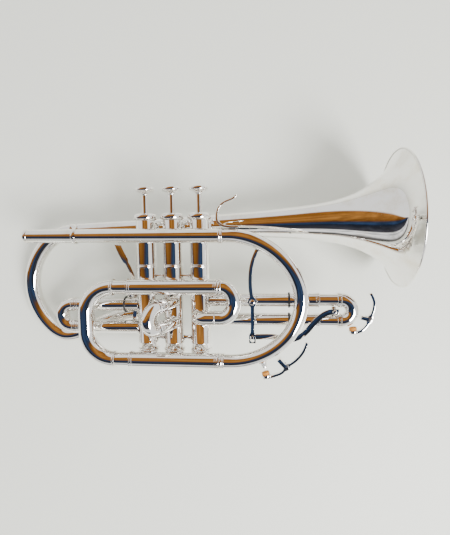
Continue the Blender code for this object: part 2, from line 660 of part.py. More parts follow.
# ---- triggers and water keys -----------------------------------------------------------
def build_third_trigger(shop, brace):
    """Finger lever on the third slide's upper sleeve, and the bar that pushes the slide."""
    top = SLIDE_Z + SLEEVE_RADIUS + GAP
    lever_low = THIRD_LEVER_Z - LEVER_THICKNESS / 2.0
    lever_high = THIRD_LEVER_Z + LEVER_THICKNESS / 2.0
    post = [(0.0, lever_high + 1.2), (2.2, lever_high + 1.2), (2.4, lever_high + GAP),
            (1.2, lever_high + GAP), (1.2, lever_low - GAP), (3.0, lever_low - GAP), (3.4, top),
            (0.0, top)]
    turned(shop, "third_trigger_post", post, SILVER, (THIRD_PIVOT.x, THIRD_PIVOT.y, 0.0), steps=16)
    joint = Vector((THIRD_PIVOT.x, THIRD_PIVOT.y - THIRD_ARM))
    hub = shop.add_empty("third_trigger_axis", shop.root, THIRD_PIVOT)
    arm = spline_through([(75.0, 17.0, 0), (71.4, 8.8, 0), (69.0, -0.5, 0), (68.3, -9.0, 0),
                          (68.4, -17.0, 0), (69.3, -24.5, 0), (69.8, -29.0, 0), (70.0, -36.0, 0),
                          (70.0, -48.0, 0), (joint.x, joint.y + 5.0, 0), (joint.x, joint.y - 5.0, 0)], 36)
    path = [(point.x, point.y) for point in arm]
    widths = [5.6 if abs(y - THIRD_PIVOT.y) < 3.0 or y < joint.y + 3.0 else 3.0 for _, y in path]
    slot = slot_outline((joint.x, joint.y + 0.2), (joint.x, joint.y - 2.6), SLOT_HALF_WIDTH)
    hole = circle((THIRD_PIVOT.x, THIRD_PIVOT.y), 1.6)
    plate(shop, "third_trigger_lever", [band([Vector(p) for p in path], widths), hole, slot],
          LEVER_THICKNESS, THIRD_LEVER_Z, SILVER, hub)
    bar = spline_through([(joint.x - 2.5, joint.y, 0), (joint.x + 8.0, joint.y + 0.3, 0),
                          (90.0, -59.3, 0), (104.0, -60.8, 0), (112.0, -57.2, 0), (120.0, -48.6, 0),
                          (128.0, -40.6, 0), (133.5, -37.6, 0), (brace.x + 3.2, brace.y, 0)], 34)
    rim = band([Vector((point.x, point.y)) for point in bar], [4.6] * len(bar))
    eye = circle((brace.x, brace.y), 1.8)
    link = as_mesh(plate(shop, "third_trigger_link", [rim, eye], LEVER_THICKNESS, THIRD_LINK_Z, None))
    link.data.materials.append(make_material("third_trigger_link", SILVER))
    height = lever_high + 0.8 - THIRD_LINK_Z
    peg = cylinder_mesh("third_link_pin", PIN_RADIUS, height, steps=14)
    place = Vector((joint.x, joint.y, THIRD_LINK_Z + height / 2.0))
    combine(link, shop.add_cutter("third_link_pin", peg, place), 'UNION')


def build_first_trigger(shop):
    """Thumb lever behind the first slide's upper sleeve, and the bar to the slide's bow."""
    lever_low = FIRST_LEVER_Z - LEVER_THICKNESS / 2.0
    lever_high = FIRST_LEVER_Z + LEVER_THICKNESS / 2.0
    post = [(0.0, 1.2), (2.0, 1.2), (2.0, lever_high + GAP), (1.2, lever_high + GAP),
            (1.2, lever_low - 1.4), (0.0, lever_low - 1.4)]
    turned(shop, "first_trigger_post", post, SILVER, (FIRST_PIVOT.x, FIRST_PIVOT.y, 0.0), steps=16)
    joint = Vector((FIRST_PIVOT.x, FIRST_PIVOT.y - FIRST_ARM))
    hub = shop.add_empty("first_trigger_axis", shop.root, FIRST_PIVOT)
    arm = spline_through([(-54.0, 22.0, 0), (-50.6, 14.0, 0), (-46.4, 6.0, 0), (-42.2, -2.0, 0),
                          (-39.8, -9.0, 0), (-38.7, -17.0, 0), (-38.5, -24.6, 0), (-38.5, -36.0, 0),
                          (joint.x, joint.y + 5.0, 0), (joint.x, joint.y - 4.6, 0)], 34)
    path = [Vector((point.x, point.y)) for point in arm]
    widths = []
    for point in path:
        near = abs(point.y - FIRST_PIVOT.y) < 3.0 or point.y < joint.y + 3.0
        widths.append(5.6 if near or point.y > 4.0 else 3.4)
    slot = slot_outline((joint.x, joint.y + 0.2), (joint.x, joint.y - 2.2), SLOT_HALF_WIDTH)
    hole = circle((FIRST_PIVOT.x, FIRST_PIVOT.y), 1.6)
    plate(shop, "first_trigger_lever", [band(path, widths), hole, slot], LEVER_THICKNESS, FIRST_LEVER_Z,
          SILVER, hub)
    left = FIRST_SLEEVE_LEFT - 10.5
    ends = [Vector((joint.x + 2.4, joint.y)), Vector((left, joint.y))]
    link = as_mesh(plate(shop, "first_trigger_link", [band(ends, [3.4, 3.4])], LEVER_THICKNESS,
                         FIRST_LINK_Z, None))
    link.data.materials.append(make_material("first_trigger_link", SILVER))
    height = lever_high + 0.2 - FIRST_LINK_Z
    peg = cylinder_mesh("first_link_pin", PIN_RADIUS, height, steps=14)
    place = Vector((joint.x, joint.y, FIRST_LINK_Z + height / 2.0))
    combine(link, shop.add_cutter("first_link_pin", peg, place), 'UNION')
    reach = SLIDE_Z - SLIDE_BOW_RADIUS - GAP - FIRST_LINK_Z
    foot = box_mesh("first_link_foot", (5.0, 3.0, reach))
    place = Vector((left + 3.0, joint.y, FIRST_LINK_Z + reach / 2.0))
    combine(link, shop.add_cutter("first_link_foot", foot, place), 'UNION')


def build_water_key(shop, number, saddle_route, lever_route, cup, cup_axis):
    """Saddle with a pivot pin, a bent lever with a cup, and the cork under it."""
    pivot = KEY_PIVOTS[number - 1]
    hub = shop.add_empty(f"water_key_axis_{number}", shop.root, pivot)
    widths = [3.2] * len(saddle_route)
    name = f"water_key_saddle_{number}"
    saddle = as_mesh(plate(shop, name, [band(saddle_route, widths)], 9.0, pivot.z, None))
    saddle.data.materials.append(make_material(saddle.name, SILVER))
    notch = box_mesh(f"key_notch_{number}", (14.0, 14.0, 5.4))
    inward = (saddle_route[0] - saddle_route[-1]).normalized()
    middle = Vector((*saddle_route[-1], pivot.z)) - Vector((*inward, 0.0)) * 1.8
    tool = shop.add_cutter(f"key_notch_{number}", notch, middle)
    tool.rotation_euler = (0.0, 0.0, math.atan2(inward.y, inward.x))
    combine(saddle, tool, 'DIFFERENCE')
    pin = cylinder_mesh(f"key_pin_{number}", 1.0, 9.4, steps=12)
    combine(saddle, shop.add_cutter(f"key_pin_{number}", pin, pivot), 'UNION')
    arm = spline_through(lever_route, 22)
    path = [Vector((point[0], point[1])) for point in arm]
    widths = [4.4 if (point - pivot.xy).length < 2.2 else 2.0 for point in path]
    hole = circle(pivot.xy, 1.4, count=12)
    lever = as_mesh(plate(shop, f"water_key_lever_{number}", [band(path, widths), hole], 4.4, pivot.z,
                          None, hub))
    lever.data.materials.append(make_material(lever.name, SILVER))
    bowl = cylinder_mesh(f"key_cup_{number}", 3.9, KEY_CUP_DEPTH, steps=16)
    combine(lever, shop.add_cutter(f"key_cup_{number}", bowl, cup, cup_axis), 'UNION')
    outward = Vector(cup_axis).normalized()
    cork = rod(3.2, 0.0, CORK_DEPTH)
    seat = Vector(cup) - outward * (KEY_CUP_DEPTH / 2.0 + GAP + CORK_DEPTH)
    turned(shop, f"water_key_cork_{number}", cork, CORK, seat, outward, steps=16)


def build_water_keys(shop):
    build_water_key(shop, 1, [Vector((91.6, -74.6)), Vector((94.6, -78.0)), Vector((99.4, -82.8))],
                    [(79.0, -91.0, 0), (84.0, -90.2, 0), (90.5, -88.2, 0), (95.6, -85.2, 0),
                     (98.4, -81.2, 0), (102.0, -78.6, 0), (108.0, -73.4, 0), (112.4, -67.0, 0),
                     (114.8, -60.6, 0)],
                    (81.6, -89.6, LEAD_Z), (0.28, -1.0, 0.0))
    build_water_key(shop, 2, [Vector((160.8, -42.6)), Vector((164.0, -43.4)), Vector((169.8, -45.0))],
                    [(153.0, -56.2, 0), (157.0, -56.0, 0), (162.0, -54.0, 0), (166.0, -49.6, 0),
                     (168.2, -44.6, 0), (170.2, -39.6, 0), (171.6, -34.0, 0), (171.4, -28.6, 0),
                     (168.8, -22.6, 0)],
                    (155.2, -55.2, SLIDE_Z), (0.12, -1.0, 0.0))


def lay_down(shop):
    """Tip the instrument into its resting pose, then centre it over the origin on z = 0."""
    shop.root.matrix_world = Matrix.Rotation(REST_ROLL, 4, 'X') @ Matrix.Rotation(-REST_PITCH, 4, 'Y')
    bpy.context.view_layer.update()
    depsgraph = bpy.context.evaluated_depsgraph_get()
    corners = []
    for piece in shop.parts.objects:
        if piece.type != 'EMPTY':
            solid = piece.evaluated_get(depsgraph)
            corners += [solid.matrix_world @ vertex.co for vertex in solid.to_mesh().vertices]
            solid.to_mesh_clear()
    low = [min(corner[axis] for corner in corners) for axis in range(3)]
    high = [max(corner[axis] for corner in corners) for axis in range(3)]
    shop.root.location = (-(low[0] + high[0]) / 2.0, -(low[1] + high[1]) / 2.0, -low[2])


def main():
    clear_scene()
    shop = Workshop()
    saddles = build_casings(shop)
    build_bridges(shop)
    build_caps(shop)
    for number, x in enumerate(VALVE_XS, start=1):
        build_valve(shop, number, x)
    build_receiver(shop)
    build_leadpipe(shop)
    build_leadpipe_bow(shop)
    build_finger_hook(shop)
    build_tuning_slide(shop)
    build_crossover(shop, saddles[2])
    build_first_slide(shop, saddles[0])
    build_second_slide(shop, saddles[1])
    brace = build_third_slide(shop, saddles[2])
    build_bell(shop)
    build_crook(shop, saddles[0])
    build_third_trigger(shop, brace)
    build_first_trigger(shop)
    build_water_keys(shop)
    for piece in shop.parts.objects:
        if piece.type == 'MESH' and not any(step.type == 'SCREW' for step in piece.modifiers):
            soften(piece)
    lay_down(shop)


if __name__ == "__main__":
    main()
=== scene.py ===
"""Looks of a silver-plated cornet with a shepherd's crook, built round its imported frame.

Every shape is modelled in the instrument's own axes, in millimetres: x runs forward to
the bell, y up the valves to the finger buttons, z out of the player's right side.  The
joints of the frame say where those axes lie in the world.
"""
import json
import math

import bmesh
import bpy
import numpy as np
from mathutils import Matrix, Vector


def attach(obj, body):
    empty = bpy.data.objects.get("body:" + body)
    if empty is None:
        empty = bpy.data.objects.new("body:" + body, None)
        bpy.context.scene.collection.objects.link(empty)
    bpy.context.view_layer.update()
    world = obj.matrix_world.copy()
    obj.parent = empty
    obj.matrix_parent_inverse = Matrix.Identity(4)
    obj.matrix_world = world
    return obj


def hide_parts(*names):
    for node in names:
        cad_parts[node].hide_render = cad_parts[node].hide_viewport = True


bl_info = {
    "name": "Cornet builder",
    "version": (1, 0, 0),
    "blender": (4, 5, 0),
    "location": "3D View > Sidebar > Cornet",
    "description": "Models the smooth shapes, finishes and stage of a cornet round its frame",
    "category": "Object",
}

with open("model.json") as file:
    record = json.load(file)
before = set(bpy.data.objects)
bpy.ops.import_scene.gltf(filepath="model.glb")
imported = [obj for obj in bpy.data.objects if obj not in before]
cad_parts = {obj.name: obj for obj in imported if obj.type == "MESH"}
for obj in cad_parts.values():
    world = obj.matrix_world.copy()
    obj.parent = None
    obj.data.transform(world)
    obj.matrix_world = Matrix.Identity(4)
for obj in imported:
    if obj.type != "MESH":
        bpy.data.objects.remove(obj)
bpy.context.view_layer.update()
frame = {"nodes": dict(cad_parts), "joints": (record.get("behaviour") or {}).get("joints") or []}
JOINTS = {joint["name"]: joint for joint in frame["joints"]}

# ---- the instrument's axes, from the joints ----
MILLIMETRE = 0.001
FORWARD = Vector(JOINTS["third_slide_throw"]["axis"]).normalized()
UPWARD = -Vector(JOINTS["valve_1_press"]["axis"]).normalized()
OUTWARD = FORWARD.cross(UPWARD).normalized()
AXES = Matrix((FORWARD, UPWARD, OUTWARD)).transposed()
THIRD_PIVOT = Vector((69.8, -29.0, 8.4))
FIRST_PIVOT = Vector((-39.6, -24.6, -8.4))
ORIGIN = Vector(JOINTS["third_trigger_swing"]["pos_m"]) - AXES @ THIRD_PIVOT * MILLIMETRE
INSTRUMENT = Matrix.Translation(ORIGIN) @ AXES.to_4x4() @ Matrix.Scale(MILLIMETRE, 4)

# ---- driving dimensions, in mm ----
VALVE_XS = (-24.0, 0.0, 24.0)
CASING_TOP = 42.0
CASING_BOTTOM = -71.0
CASING_RADIUS = 8.9
CASING_SEAT = 8.25              # how deep the valve slides' sleeves are let into a casing
LEAD_Z = 16.8                   # plane of the leadpipe, tuning slide and crossover bow
SLIDE_Z = -1.0                  # plane of the first and third valve slides
RECEIVER_START = Vector((-126.8, 29.6, LEAD_Z))
LEADPIPE_START = Vector((-79.6, 29.1, LEAD_Z))
LEADPIPE_END = Vector((42.0, 27.7, LEAD_Z))
LEAD_RADIUS = 6.0
BOW_CENTRE = Vector((50.5, -25.3))
BOW_REACH = 59.8
BOW_HEIGHT = 53.0
CROSSOVER_X = 42.2
CROSSOVER_LOWER_Y = -41.5
CROSSOVER_RADIUS = 6.2
CROSSOVER_TURN = 6.8            # bend where the crossover turns into the third casing
TUNING_YS = (-15.0, -78.3)
TUNING_BOW_X = -74.2
TUNING_CORNER = 24.0
TUNING_BOW_RADIUS = 6.9
TUNING_SLEEVE_LEFT = -36.2
TUNING_LEG_END = 34.0
FIRST_YS = (-33.0, -53.4)
FIRST_SLEEVE_LEFT = -91.8
SECOND_YS = (-26.9, -45.6)
SECOND_FOOT_X = 6.0
SECOND_SLANT = math.radians(36.0)
SECOND_HEADING = Vector((-math.sin(SECOND_SLANT), -0.18, math.cos(SECOND_SLANT))).normalized()
SECOND_SLEEVE_START = 6.4       # along the heading from the foot on the middle casing's axis
SECOND_SLEEVE_LENGTH = 17.6
SECOND_FERRULE_START = 24.1
THIRD_YS = (-28.5, -46.1)
THIRD_SLEEVE_RIGHT = 126.5
THIRD_BOW_X = 145.0
THIRD_RING_X = 101.0            # rubber rings that quieten the third slide
BUMPER_X = -44.4                # rubber ring that stops the first trigger
SLIDE_FOOT = 8.2                # how far from its axis a casing's long sleeves start
SLIDE_NECK = 3.4                # length of the ferrule between a slide's leg and its bow
SLIDE_BOW_RADIUS = 5.9
FIRST_LEG = 52.0                # lengths of the inner legs
SECOND_LEG = 11.0
THIRD_LEG = 100.0
BELL_TAIL = Vector((-92.0, 33.6, -15.2))
BELL_DIRECTION = Vector((1.0, 0.0235, -0.035)).normalized()
BELL_WALL = 0.7
RIM_RADIUS = 59.75              # centre line of the wire in the rim
RIM_WIRE = 0.98
BELL_OUTLINE = ((0.0, 7.3), (42.0, 8.2), (92.0, 9.25), (128.0, 10.3), (168.0, 12.0), (204.0, 14.9),
                (222.0, 17.2), (239.0, 20.7), (255.0, 26.4), (271.0, 35.6), (282.0, 45.8), (289.9, 60.0))
CROOK_Z = -18.5
CROOK_END_Y = -43.6             # height at which the crook enters the first casing
CROOK_CORNER = 7.0
CROOK_ROUTE = ((-115.0, 29.4, -15.2), (-131.6, 15.6, -16.1), (-141.6, -4.0, -17.1),
               (-143.4, -23.0, -17.8), (-138.4, -41.0, -18.2), (-127.6, -56.6, -18.4),
               (-113.5, -65.6, -18.5), (-100.0, -64.4, -18.5), (-83.0, -56.6, -18.5),
               (-62.0, -48.4, -18.5), (-44.0, -44.4, -18.5))
KEY_PIVOTS = (Vector((98.4, -81.2, LEAD_Z)), Vector((168.2, -44.6, SLIDE_Z)))
KEY_CUPS = ((Vector((81.6, -89.6, LEAD_Z)), Vector((0.28, -1.0, 0.0)).normalized()),
            (Vector((155.2, -55.2, SLIDE_Z)), Vector((0.12, -1.0, 0.0)).normalized()))
KEY_NIPPLES = (Vector((79.6, -80.3, LEAD_Z)), Vector((154.4, -44.8, SLIDE_Z)))
CUP_FACE = 0.95                 # from the middle of a key's cup to the back of its cork
CORK_DEPTH = 2.6
PLATE_HALF = 0.8                # half the thickness of a trigger's plate
MERGE = 0.0005                  # corners closer than this are one
FRAME_MERGE = 0.000002          # the same on the frame's own meshes, in metres

# ---- the camera, in the instrument's axes ----
CAMERA_PLACE = Vector((85.9, 27.9, 344.6))
CAMERA_YAW = math.radians(6.6)
CAMERA_PITCH = math.radians(4.6)
CAMERA_ROLL = math.radians(0.8)
CAMERA_LENS = 26.9

# ---- the stage, in metres and watts, and the fixed finishes ----
TABLE_HALF = 3.0
WINDOW_PLACE = Vector((0.75, -0.70, 1.15))
WINDOW_SIZE = 0.60
WINDOW_POWER = 38.0
WIRE_BRIGHT = (0.52, 0.53, 0.55)
WIRE_DULL = (0.40, 0.40, 0.42)
RUBBER_DARK = (0.012, 0.012, 0.014)
RUBBER_LIGHT = (0.03, 0.03, 0.033)
CORK_SHADE = 0.55               # how dark the pores of the cork are beside its face
ROUND_STEPS = 64                # faces round a valve's turned parts
SMALL_STEPS = 32                # faces round braces and nipples
SCREW_STEPS = 40                # faces round posts, screws and corks


# ---- settings ----
class CornetShape(bpy.types.PropertyGroup):
    """How finely the pieces are shaped"""
    sides: bpy.props.IntProperty(
        name="Tube sides", description="Faces round each tube", default=48, min=16, max=96)
    bell_steps: bpy.props.IntProperty(
        name="Bell steps", description="Faces round the bell", default=128, min=32, max=256)
    edge: bpy.props.FloatProperty(
        name="Edge rounding", description="Radius on the edges of levers and links",
        default=0.00032, min=0.0, unit='LENGTH', subtype='DISTANCE', precision=5)


class CornetLook(bpy.types.PropertyGroup):
    """Colours of the finishes and the table, and the room's light"""
    silver: bpy.props.FloatVectorProperty(
        name="Silver", description="Colour of the plate", subtype='COLOR',
        default=(0.94, 0.925, 0.90), min=0.0, max=1.0)
    tarnish: bpy.props.FloatVectorProperty(
        name="Tarnish", description="Colour where the plate has dulled", subtype='COLOR',
        default=(0.80, 0.74, 0.64), min=0.0, max=1.0)
    cork: bpy.props.FloatVectorProperty(
        name="Cork", description="Colour of the water-key corks", subtype='COLOR',
        default=(0.66, 0.26, 0.035), min=0.0, max=1.0)
    table: bpy.props.FloatVectorProperty(
        name="Table", description="Colour of the table top", subtype='COLOR',
        default=(0.80, 0.812, 0.74), min=0.0, max=1.0)
    sky: bpy.props.FloatProperty(
        name="Room light", description="Strength of the light from all round", default=1.25, min=0.0)


# ---- shapes, all in a bmesh that ends in instrument millimetres ----
def spline_through(points, count):
    """Evenly spaced points on the natural cubic spline through given points."""
    knots = np.array([tuple(point) for point in points], dtype=float)
    spans = np.linalg.norm(np.diff(knots, axis=0), axis=1)
    stations = np.concatenate(([0.0], np.cumsum(spans)))
    size = len(knots)
    system = np.eye(size)
    right_side = np.zeros_like(knots)
    for row in range(1, size - 1):
        before, after = spans[row - 1], spans[row]
        system[row, row - 1:row + 2] = (before, 2.0 * (before + after), after)
        rise = (knots[row + 1] - knots[row]) / after - (knots[row] - knots[row - 1]) / before
        right_side[row] = 6.0 * rise
    bend = np.linalg.solve(system, right_side)
    result = []
    for station in np.linspace(0.0, stations[-1], count):
        index = min(int(np.searchsorted(stations, station, side="right")) - 1, size - 2)
        width = spans[index]
        ahead = (stations[index + 1] - station) / width
        back = 1.0 - ahead
        bulge = (ahead ** 3 - ahead) * bend[index] + (back ** 3 - back) * bend[index + 1]
        point = ahead * knots[index] + back * knots[index + 1] + bulge * width ** 2 / 6.0
        result.append(Vector(point))
    return result


def arc(centre, across, along, start, end, count):
    """Points of an ellipse with half axes across and along, from start to end degrees."""
    angles = np.radians(np.linspace(start, end, count))
    return [centre + across * math.cos(angle) + along * math.sin(angle) for angle in angles]


def spin_outline(shape, outline, place, direction, steps, closed):
    """Turn an outline of (radius, height) round the axis that leaves place along direction."""
    turned = bmesh.new()
    corners = [turned.verts.new((radius, 0.0, height)) for radius, height in outline]
    edges = [turned.edges.new(pair) for pair in zip(corners, corners[1:])]
    if closed:
        edges.append(turned.edges.new((corners[-1], corners[0])))
    bmesh.ops.spin(turned, geom=corners + edges, cent=(0, 0, 0), axis=(0, 0, 1),
                   angle=math.tau, steps=steps, use_merge=True)
    bmesh.ops.remove_doubles(turned, verts=turned.verts, dist=MERGE)
    bmesh.ops.recalc_face_normals(turned, faces=turned.faces)
    swing = Vector((0, 0, 1)).rotation_difference(Vector(direction)).to_matrix().to_4x4()
    turned.transform(Matrix.Translation(Vector(place)) @ swing)
    join(shape, turned)


def join(shape, extra):
    """Move everything of the bmesh extra into shape."""
    store = bpy.data.meshes.new("joining")
    extra.to_mesh(store)
    extra.free()
    shape.from_mesh(store)
    bpy.data.meshes.remove(store)


def sweep(shape, route, radii, sides):
    """A round bar along route: one ring is extruded from point to point and resized."""
    if not hasattr(radii, "__len__"):
        radii = [radii] * len(route)
    bar = bmesh.new()
    heading = (route[1] - route[0]).normalized()
    turn = Vector((0, 0, 1)).rotation_difference(heading)
    frame_now = Matrix.LocRotScale(route[0], turn, Vector((radii[0],) * 3))
    bmesh.ops.create_circle(bar, segments=sides, radius=1.0, matrix=frame_now)
    edges = bar.edges[:]
    bmesh.ops.contextual_create(bar, geom=edges)
    for index in range(1, len(route)):
        after = route[min(index + 1, len(route) - 1)]
        ahead = (after - route[index - 1]).normalized()
        turn = heading.rotation_difference(ahead) @ turn
        heading = ahead
        frame_next = Matrix.LocRotScale(route[index], turn, Vector((radii[index],) * 3))
        pulled = bmesh.ops.extrude_edge_only(bar, edges=edges)["geom"]
        verts = [item for item in pulled if isinstance(item, bmesh.types.BMVert)]
        edges = [item for item in pulled if isinstance(item, bmesh.types.BMEdge)
                 and all(vertex in verts for vertex in item.verts)]
        bmesh.ops.transform(bar, matrix=frame_next @ frame_now.inverted(), verts=verts)
        frame_now = frame_next
    bmesh.ops.contextual_create(bar, geom=edges)
    bmesh.ops.recalc_face_normals(bar, faces=bar.faces)
    join(shape, bar)


def nipple_outline(foot):
    """Outline of the short spout under a water key's cork, foot wide where it meets the tube."""
    return [(0.0, 2.5), (1.5, 2.5), (2.2, 2.2), (2.3, 0.8), (2.9, -0.6), (foot, -2.5), (0.0, -2.5)]


def torus_outline(radius, thick, height, count=14):
    """Outline of a round bead that stands on a tube."""
    return [(radius + thick * math.cos(angle), height + thick * math.sin(angle))
            for angle in np.linspace(math.tau, 0.0, count, endpoint=False)]


def sleeve_outline(outer, bore, length, beads):
    """A hollow tube with a rounded lip at each end and a raised band at each of beads."""
    outline = [(outer - 0.15, length), (outer, length - 0.2)]
    for height, half, lift in sorted(beads, reverse=True):
        top, bottom = height + half, height - half
        crest, shoulder = outer + lift, outer + lift * 0.7
        outline += [(outer, top + 0.15), (shoulder, top), (crest, top - 0.2 * half),
                    (crest, bottom + 0.2 * half), (shoulder, bottom), (outer, bottom - 0.15)]
    return outline + [(outer, 0.2), (outer - 0.15, 0.0), (bore, 0.0), (bore, length)]


def refined(node, edge):
    """The frame's own shape of a flat part, its triangles merged and its edges rounded."""
    shape = bmesh.new()
    shape.from_mesh(frame["nodes"][node].data)
    bmesh.ops.remove_doubles(shape, verts=shape.verts, dist=FRAME_MERGE)
    bmesh.ops.dissolve_limit(shape, angle_limit=math.radians(1.0), verts=shape.verts, edges=shape.edges)
    bmesh.ops.recalc_face_normals(shape, faces=shape.faces)
    corners = [each for each in shape.edges
               if len(each.link_faces) == 2 and each.calc_face_angle() > math.radians(50.0)]
    bmesh.ops.bevel(shape, geom=corners, offset=edge, offset_type='OFFSET', segments=3,
                    profile=0.5, affect='EDGES', clamp_overlap=True, material=-1)
    bmesh.ops.triangulate(shape, faces=[face for face in shape.faces if len(face.verts) > 4])
    return shape


def make_piece(name, shape, body, nodes, slot, material, in_world=False, sharp=32.0):
    """Finish a shape as a piece: placed in its mesh, riding a body, standing for nodes."""
    if not in_world:
        shape.transform(INSTRUMENT)
    mesh = bpy.data.meshes.new(name)
    shape.to_mesh(mesh)
    shape.free()
    mesh.shade_smooth()
    mesh.set_sharp_from_angle(angle=math.radians(sharp))
    mesh.materials.append(material)
    piece = bpy.data.objects.new(name, mesh)
    bpy.context.scene.collection.objects.link(piece)
    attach(piece, body)
    if nodes:
        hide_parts(*nodes)
    return piece


# ---- materials ----
def handling_group():
    """Mask of handled, dulled metal, with a fine scratch height; both change over the surface."""
    name = "Handling"
    group = bpy.data.node_groups.get(name)
    if group:
        return group
    group = bpy.data.node_groups.new(name, 'ShaderNodeTree')
    face = group.interface
    for label, default in (("Patch Scale", 60.0), ("Scratch Scale", 900.0), ("Spread", 0.5)):
        socket = face.new_socket(name=label, in_out='INPUT', socket_type='NodeSocketFloat')
        socket.default_value = default
    face.new_socket(name="Dulled", in_out='OUTPUT', socket_type='NodeSocketFloat')
    face.new_socket(name="Scratches", in_out='OUTPUT', socket_type='NodeSocketFloat')
    nodes, links = group.nodes, group.links
    given = nodes.new('NodeGroupInput')
    result = nodes.new('NodeGroupOutput')
    place = nodes.new('ShaderNodeTexCoord')
    patches = nodes.new('ShaderNodeTexNoise')
    patches.inputs["Detail"].default_value = 5.0
    patches.inputs["Roughness"].default_value = 0.62
    ramp = nodes.new('ShaderNodeMapRange')
    ramp.inputs["To Min"].default_value = 0.0
    ramp.inputs["From Max"].default_value = 0.78
    scratch = nodes.new('ShaderNodeTexNoise')
    scratch.inputs["Detail"].default_value = 3.0
    links.new(place.outputs["Object"], patches.inputs["Vector"])
    links.new(place.outputs["Object"], scratch.inputs["Vector"])
    links.new(given.outputs["Patch Scale"], patches.inputs["Scale"])
    links.new(given.outputs["Scratch Scale"], scratch.inputs["Scale"])
    links.new(given.outputs["Spread"], ramp.inputs["From Min"])
    links.new(patches.outputs["Fac"], ramp.inputs["Value"])
    links.new(ramp.outputs["Result"], result.inputs["Dulled"])
    links.new(scratch.outputs["Fac"], result.inputs["Scratches"])
    return group


def new_material(name):
    """A new node material, its tree and its shader."""
    material = bpy.data.materials.new(name)
    material.use_nodes = True
    return material, material.node_tree, material.node_tree.nodes["Principled BSDF"]


def metal_material(name, colour, dull_colour, smooth, rough, bump, patch_scale=60.0):
    """Plated or bare metal: bright where wiped, duller and warmer in patches, finely scratched."""
    material, tree, shader = new_material(name)
    shader.inputs["Metallic"].default_value = 1.0
    handling = tree.nodes.new('ShaderNodeGroup')
    handling.node_tree = handling_group()
    handling.inputs["Patch Scale"].default_value = patch_scale
    tint = tree.nodes.new('ShaderNodeMix')
    tint.data_type = 'RGBA'
    tint.inputs[6].default_value = (*colour, 1.0)
    tint.inputs[7].default_value = (*dull_colour, 1.0)
    gloss = tree.nodes.new('ShaderNodeMapRange')
    gloss.inputs["To Min"].default_value = smooth
    gloss.inputs["To Max"].default_value = rough
    relief = tree.nodes.new('ShaderNodeBump')
    relief.inputs["Strength"].default_value = bump
    relief.inputs["Distance"].default_value = 0.00005
    tree.links.new(handling.outputs["Dulled"], tint.inputs[0])
    tree.links.new(handling.outputs["Dulled"], gloss.inputs["Value"])
    tree.links.new(handling.outputs["Scratches"], relief.inputs["Height"])
    tree.links.new(tint.outputs[2], shader.inputs["Base Color"])
    tree.links.new(gloss.outputs["Result"], shader.inputs["Roughness"])
    tree.links.new(relief.outputs["Normal"], shader.inputs["Normal"])
    return material


def grained_material(name, dark, light, scale, rough, bump):
    """Cork or rubber: a grain of two colours with its own relief."""
    material, tree, shader = new_material(name)
    shader.inputs["Roughness"].default_value = rough
    place = tree.nodes.new('ShaderNodeTexCoord')
    grain = tree.nodes.new('ShaderNodeTexNoise')
    grain.inputs["Scale"].default_value = scale
    grain.inputs["Detail"].default_value = 4.0
    ramp = tree.nodes.new('ShaderNodeValToRGB')
    ramp.color_ramp.elements[0].position = 0.35
    ramp.color_ramp.elements[0].color = (*dark, 1.0)
    ramp.color_ramp.elements[1].position = 0.65
    ramp.color_ramp.elements[1].color = (*light, 1.0)
    relief = tree.nodes.new('ShaderNodeBump')
    relief.inputs["Strength"].default_value = bump
    relief.inputs["Distance"].default_value = 0.0002
    tree.links.new(place.outputs["Object"], grain.inputs["Vector"])
    tree.links.new(grain.outputs["Fac"], ramp.inputs["Fac"])
    tree.links.new(grain.outputs["Fac"], relief.inputs["Height"])
    tree.links.new(ramp.outputs["Color"], shader.inputs["Base Color"])
    tree.links.new(relief.outputs["Normal"], shader.inputs["Normal"])
    return material


def finishes():
    """The five finishes, made once and looked up afterwards."""
    if "silver plate" not in bpy.data.materials:
        look = bpy.context.scene.cornet_look
        metal_material("silver plate", look.silver, look.tarnish, 0.03, 0.10, 0.02)
        metal_material("bare silver", look.silver, look.tarnish, 0.12, 0.30, 0.10, 160.0)
        metal_material("spring wire", WIRE_BRIGHT, WIRE_DULL, 0.16, 0.30, 0.10, 200.0)
        dark_cork = tuple(CORK_SHADE * channel for channel in look.cork)
        grained_material("key cork", dark_cork, look.cork, 1100.0, 0.85, 0.6)
        grained_material("ring rubber", RUBBER_DARK, RUBBER_LIGHT, 1500.0, 0.5, 0.25)
    return bpy.data.materials


def silver_piece(name, shape, body, nodes, **more):
    """A silver-plated piece."""
    return make_piece(name, shape, body, nodes, "silver_plate", finishes()["silver plate"], **more)


def turned_piece(name, outline, place, direction, steps, closed, body, node, sharp=40.0):
    """A silver-plated piece that is one turned outline."""
    shape = bmesh.new()
    spin_outline(shape, outline, place, direction, steps, closed)
    return silver_piece(name, shape, body, [node], sharp=sharp)


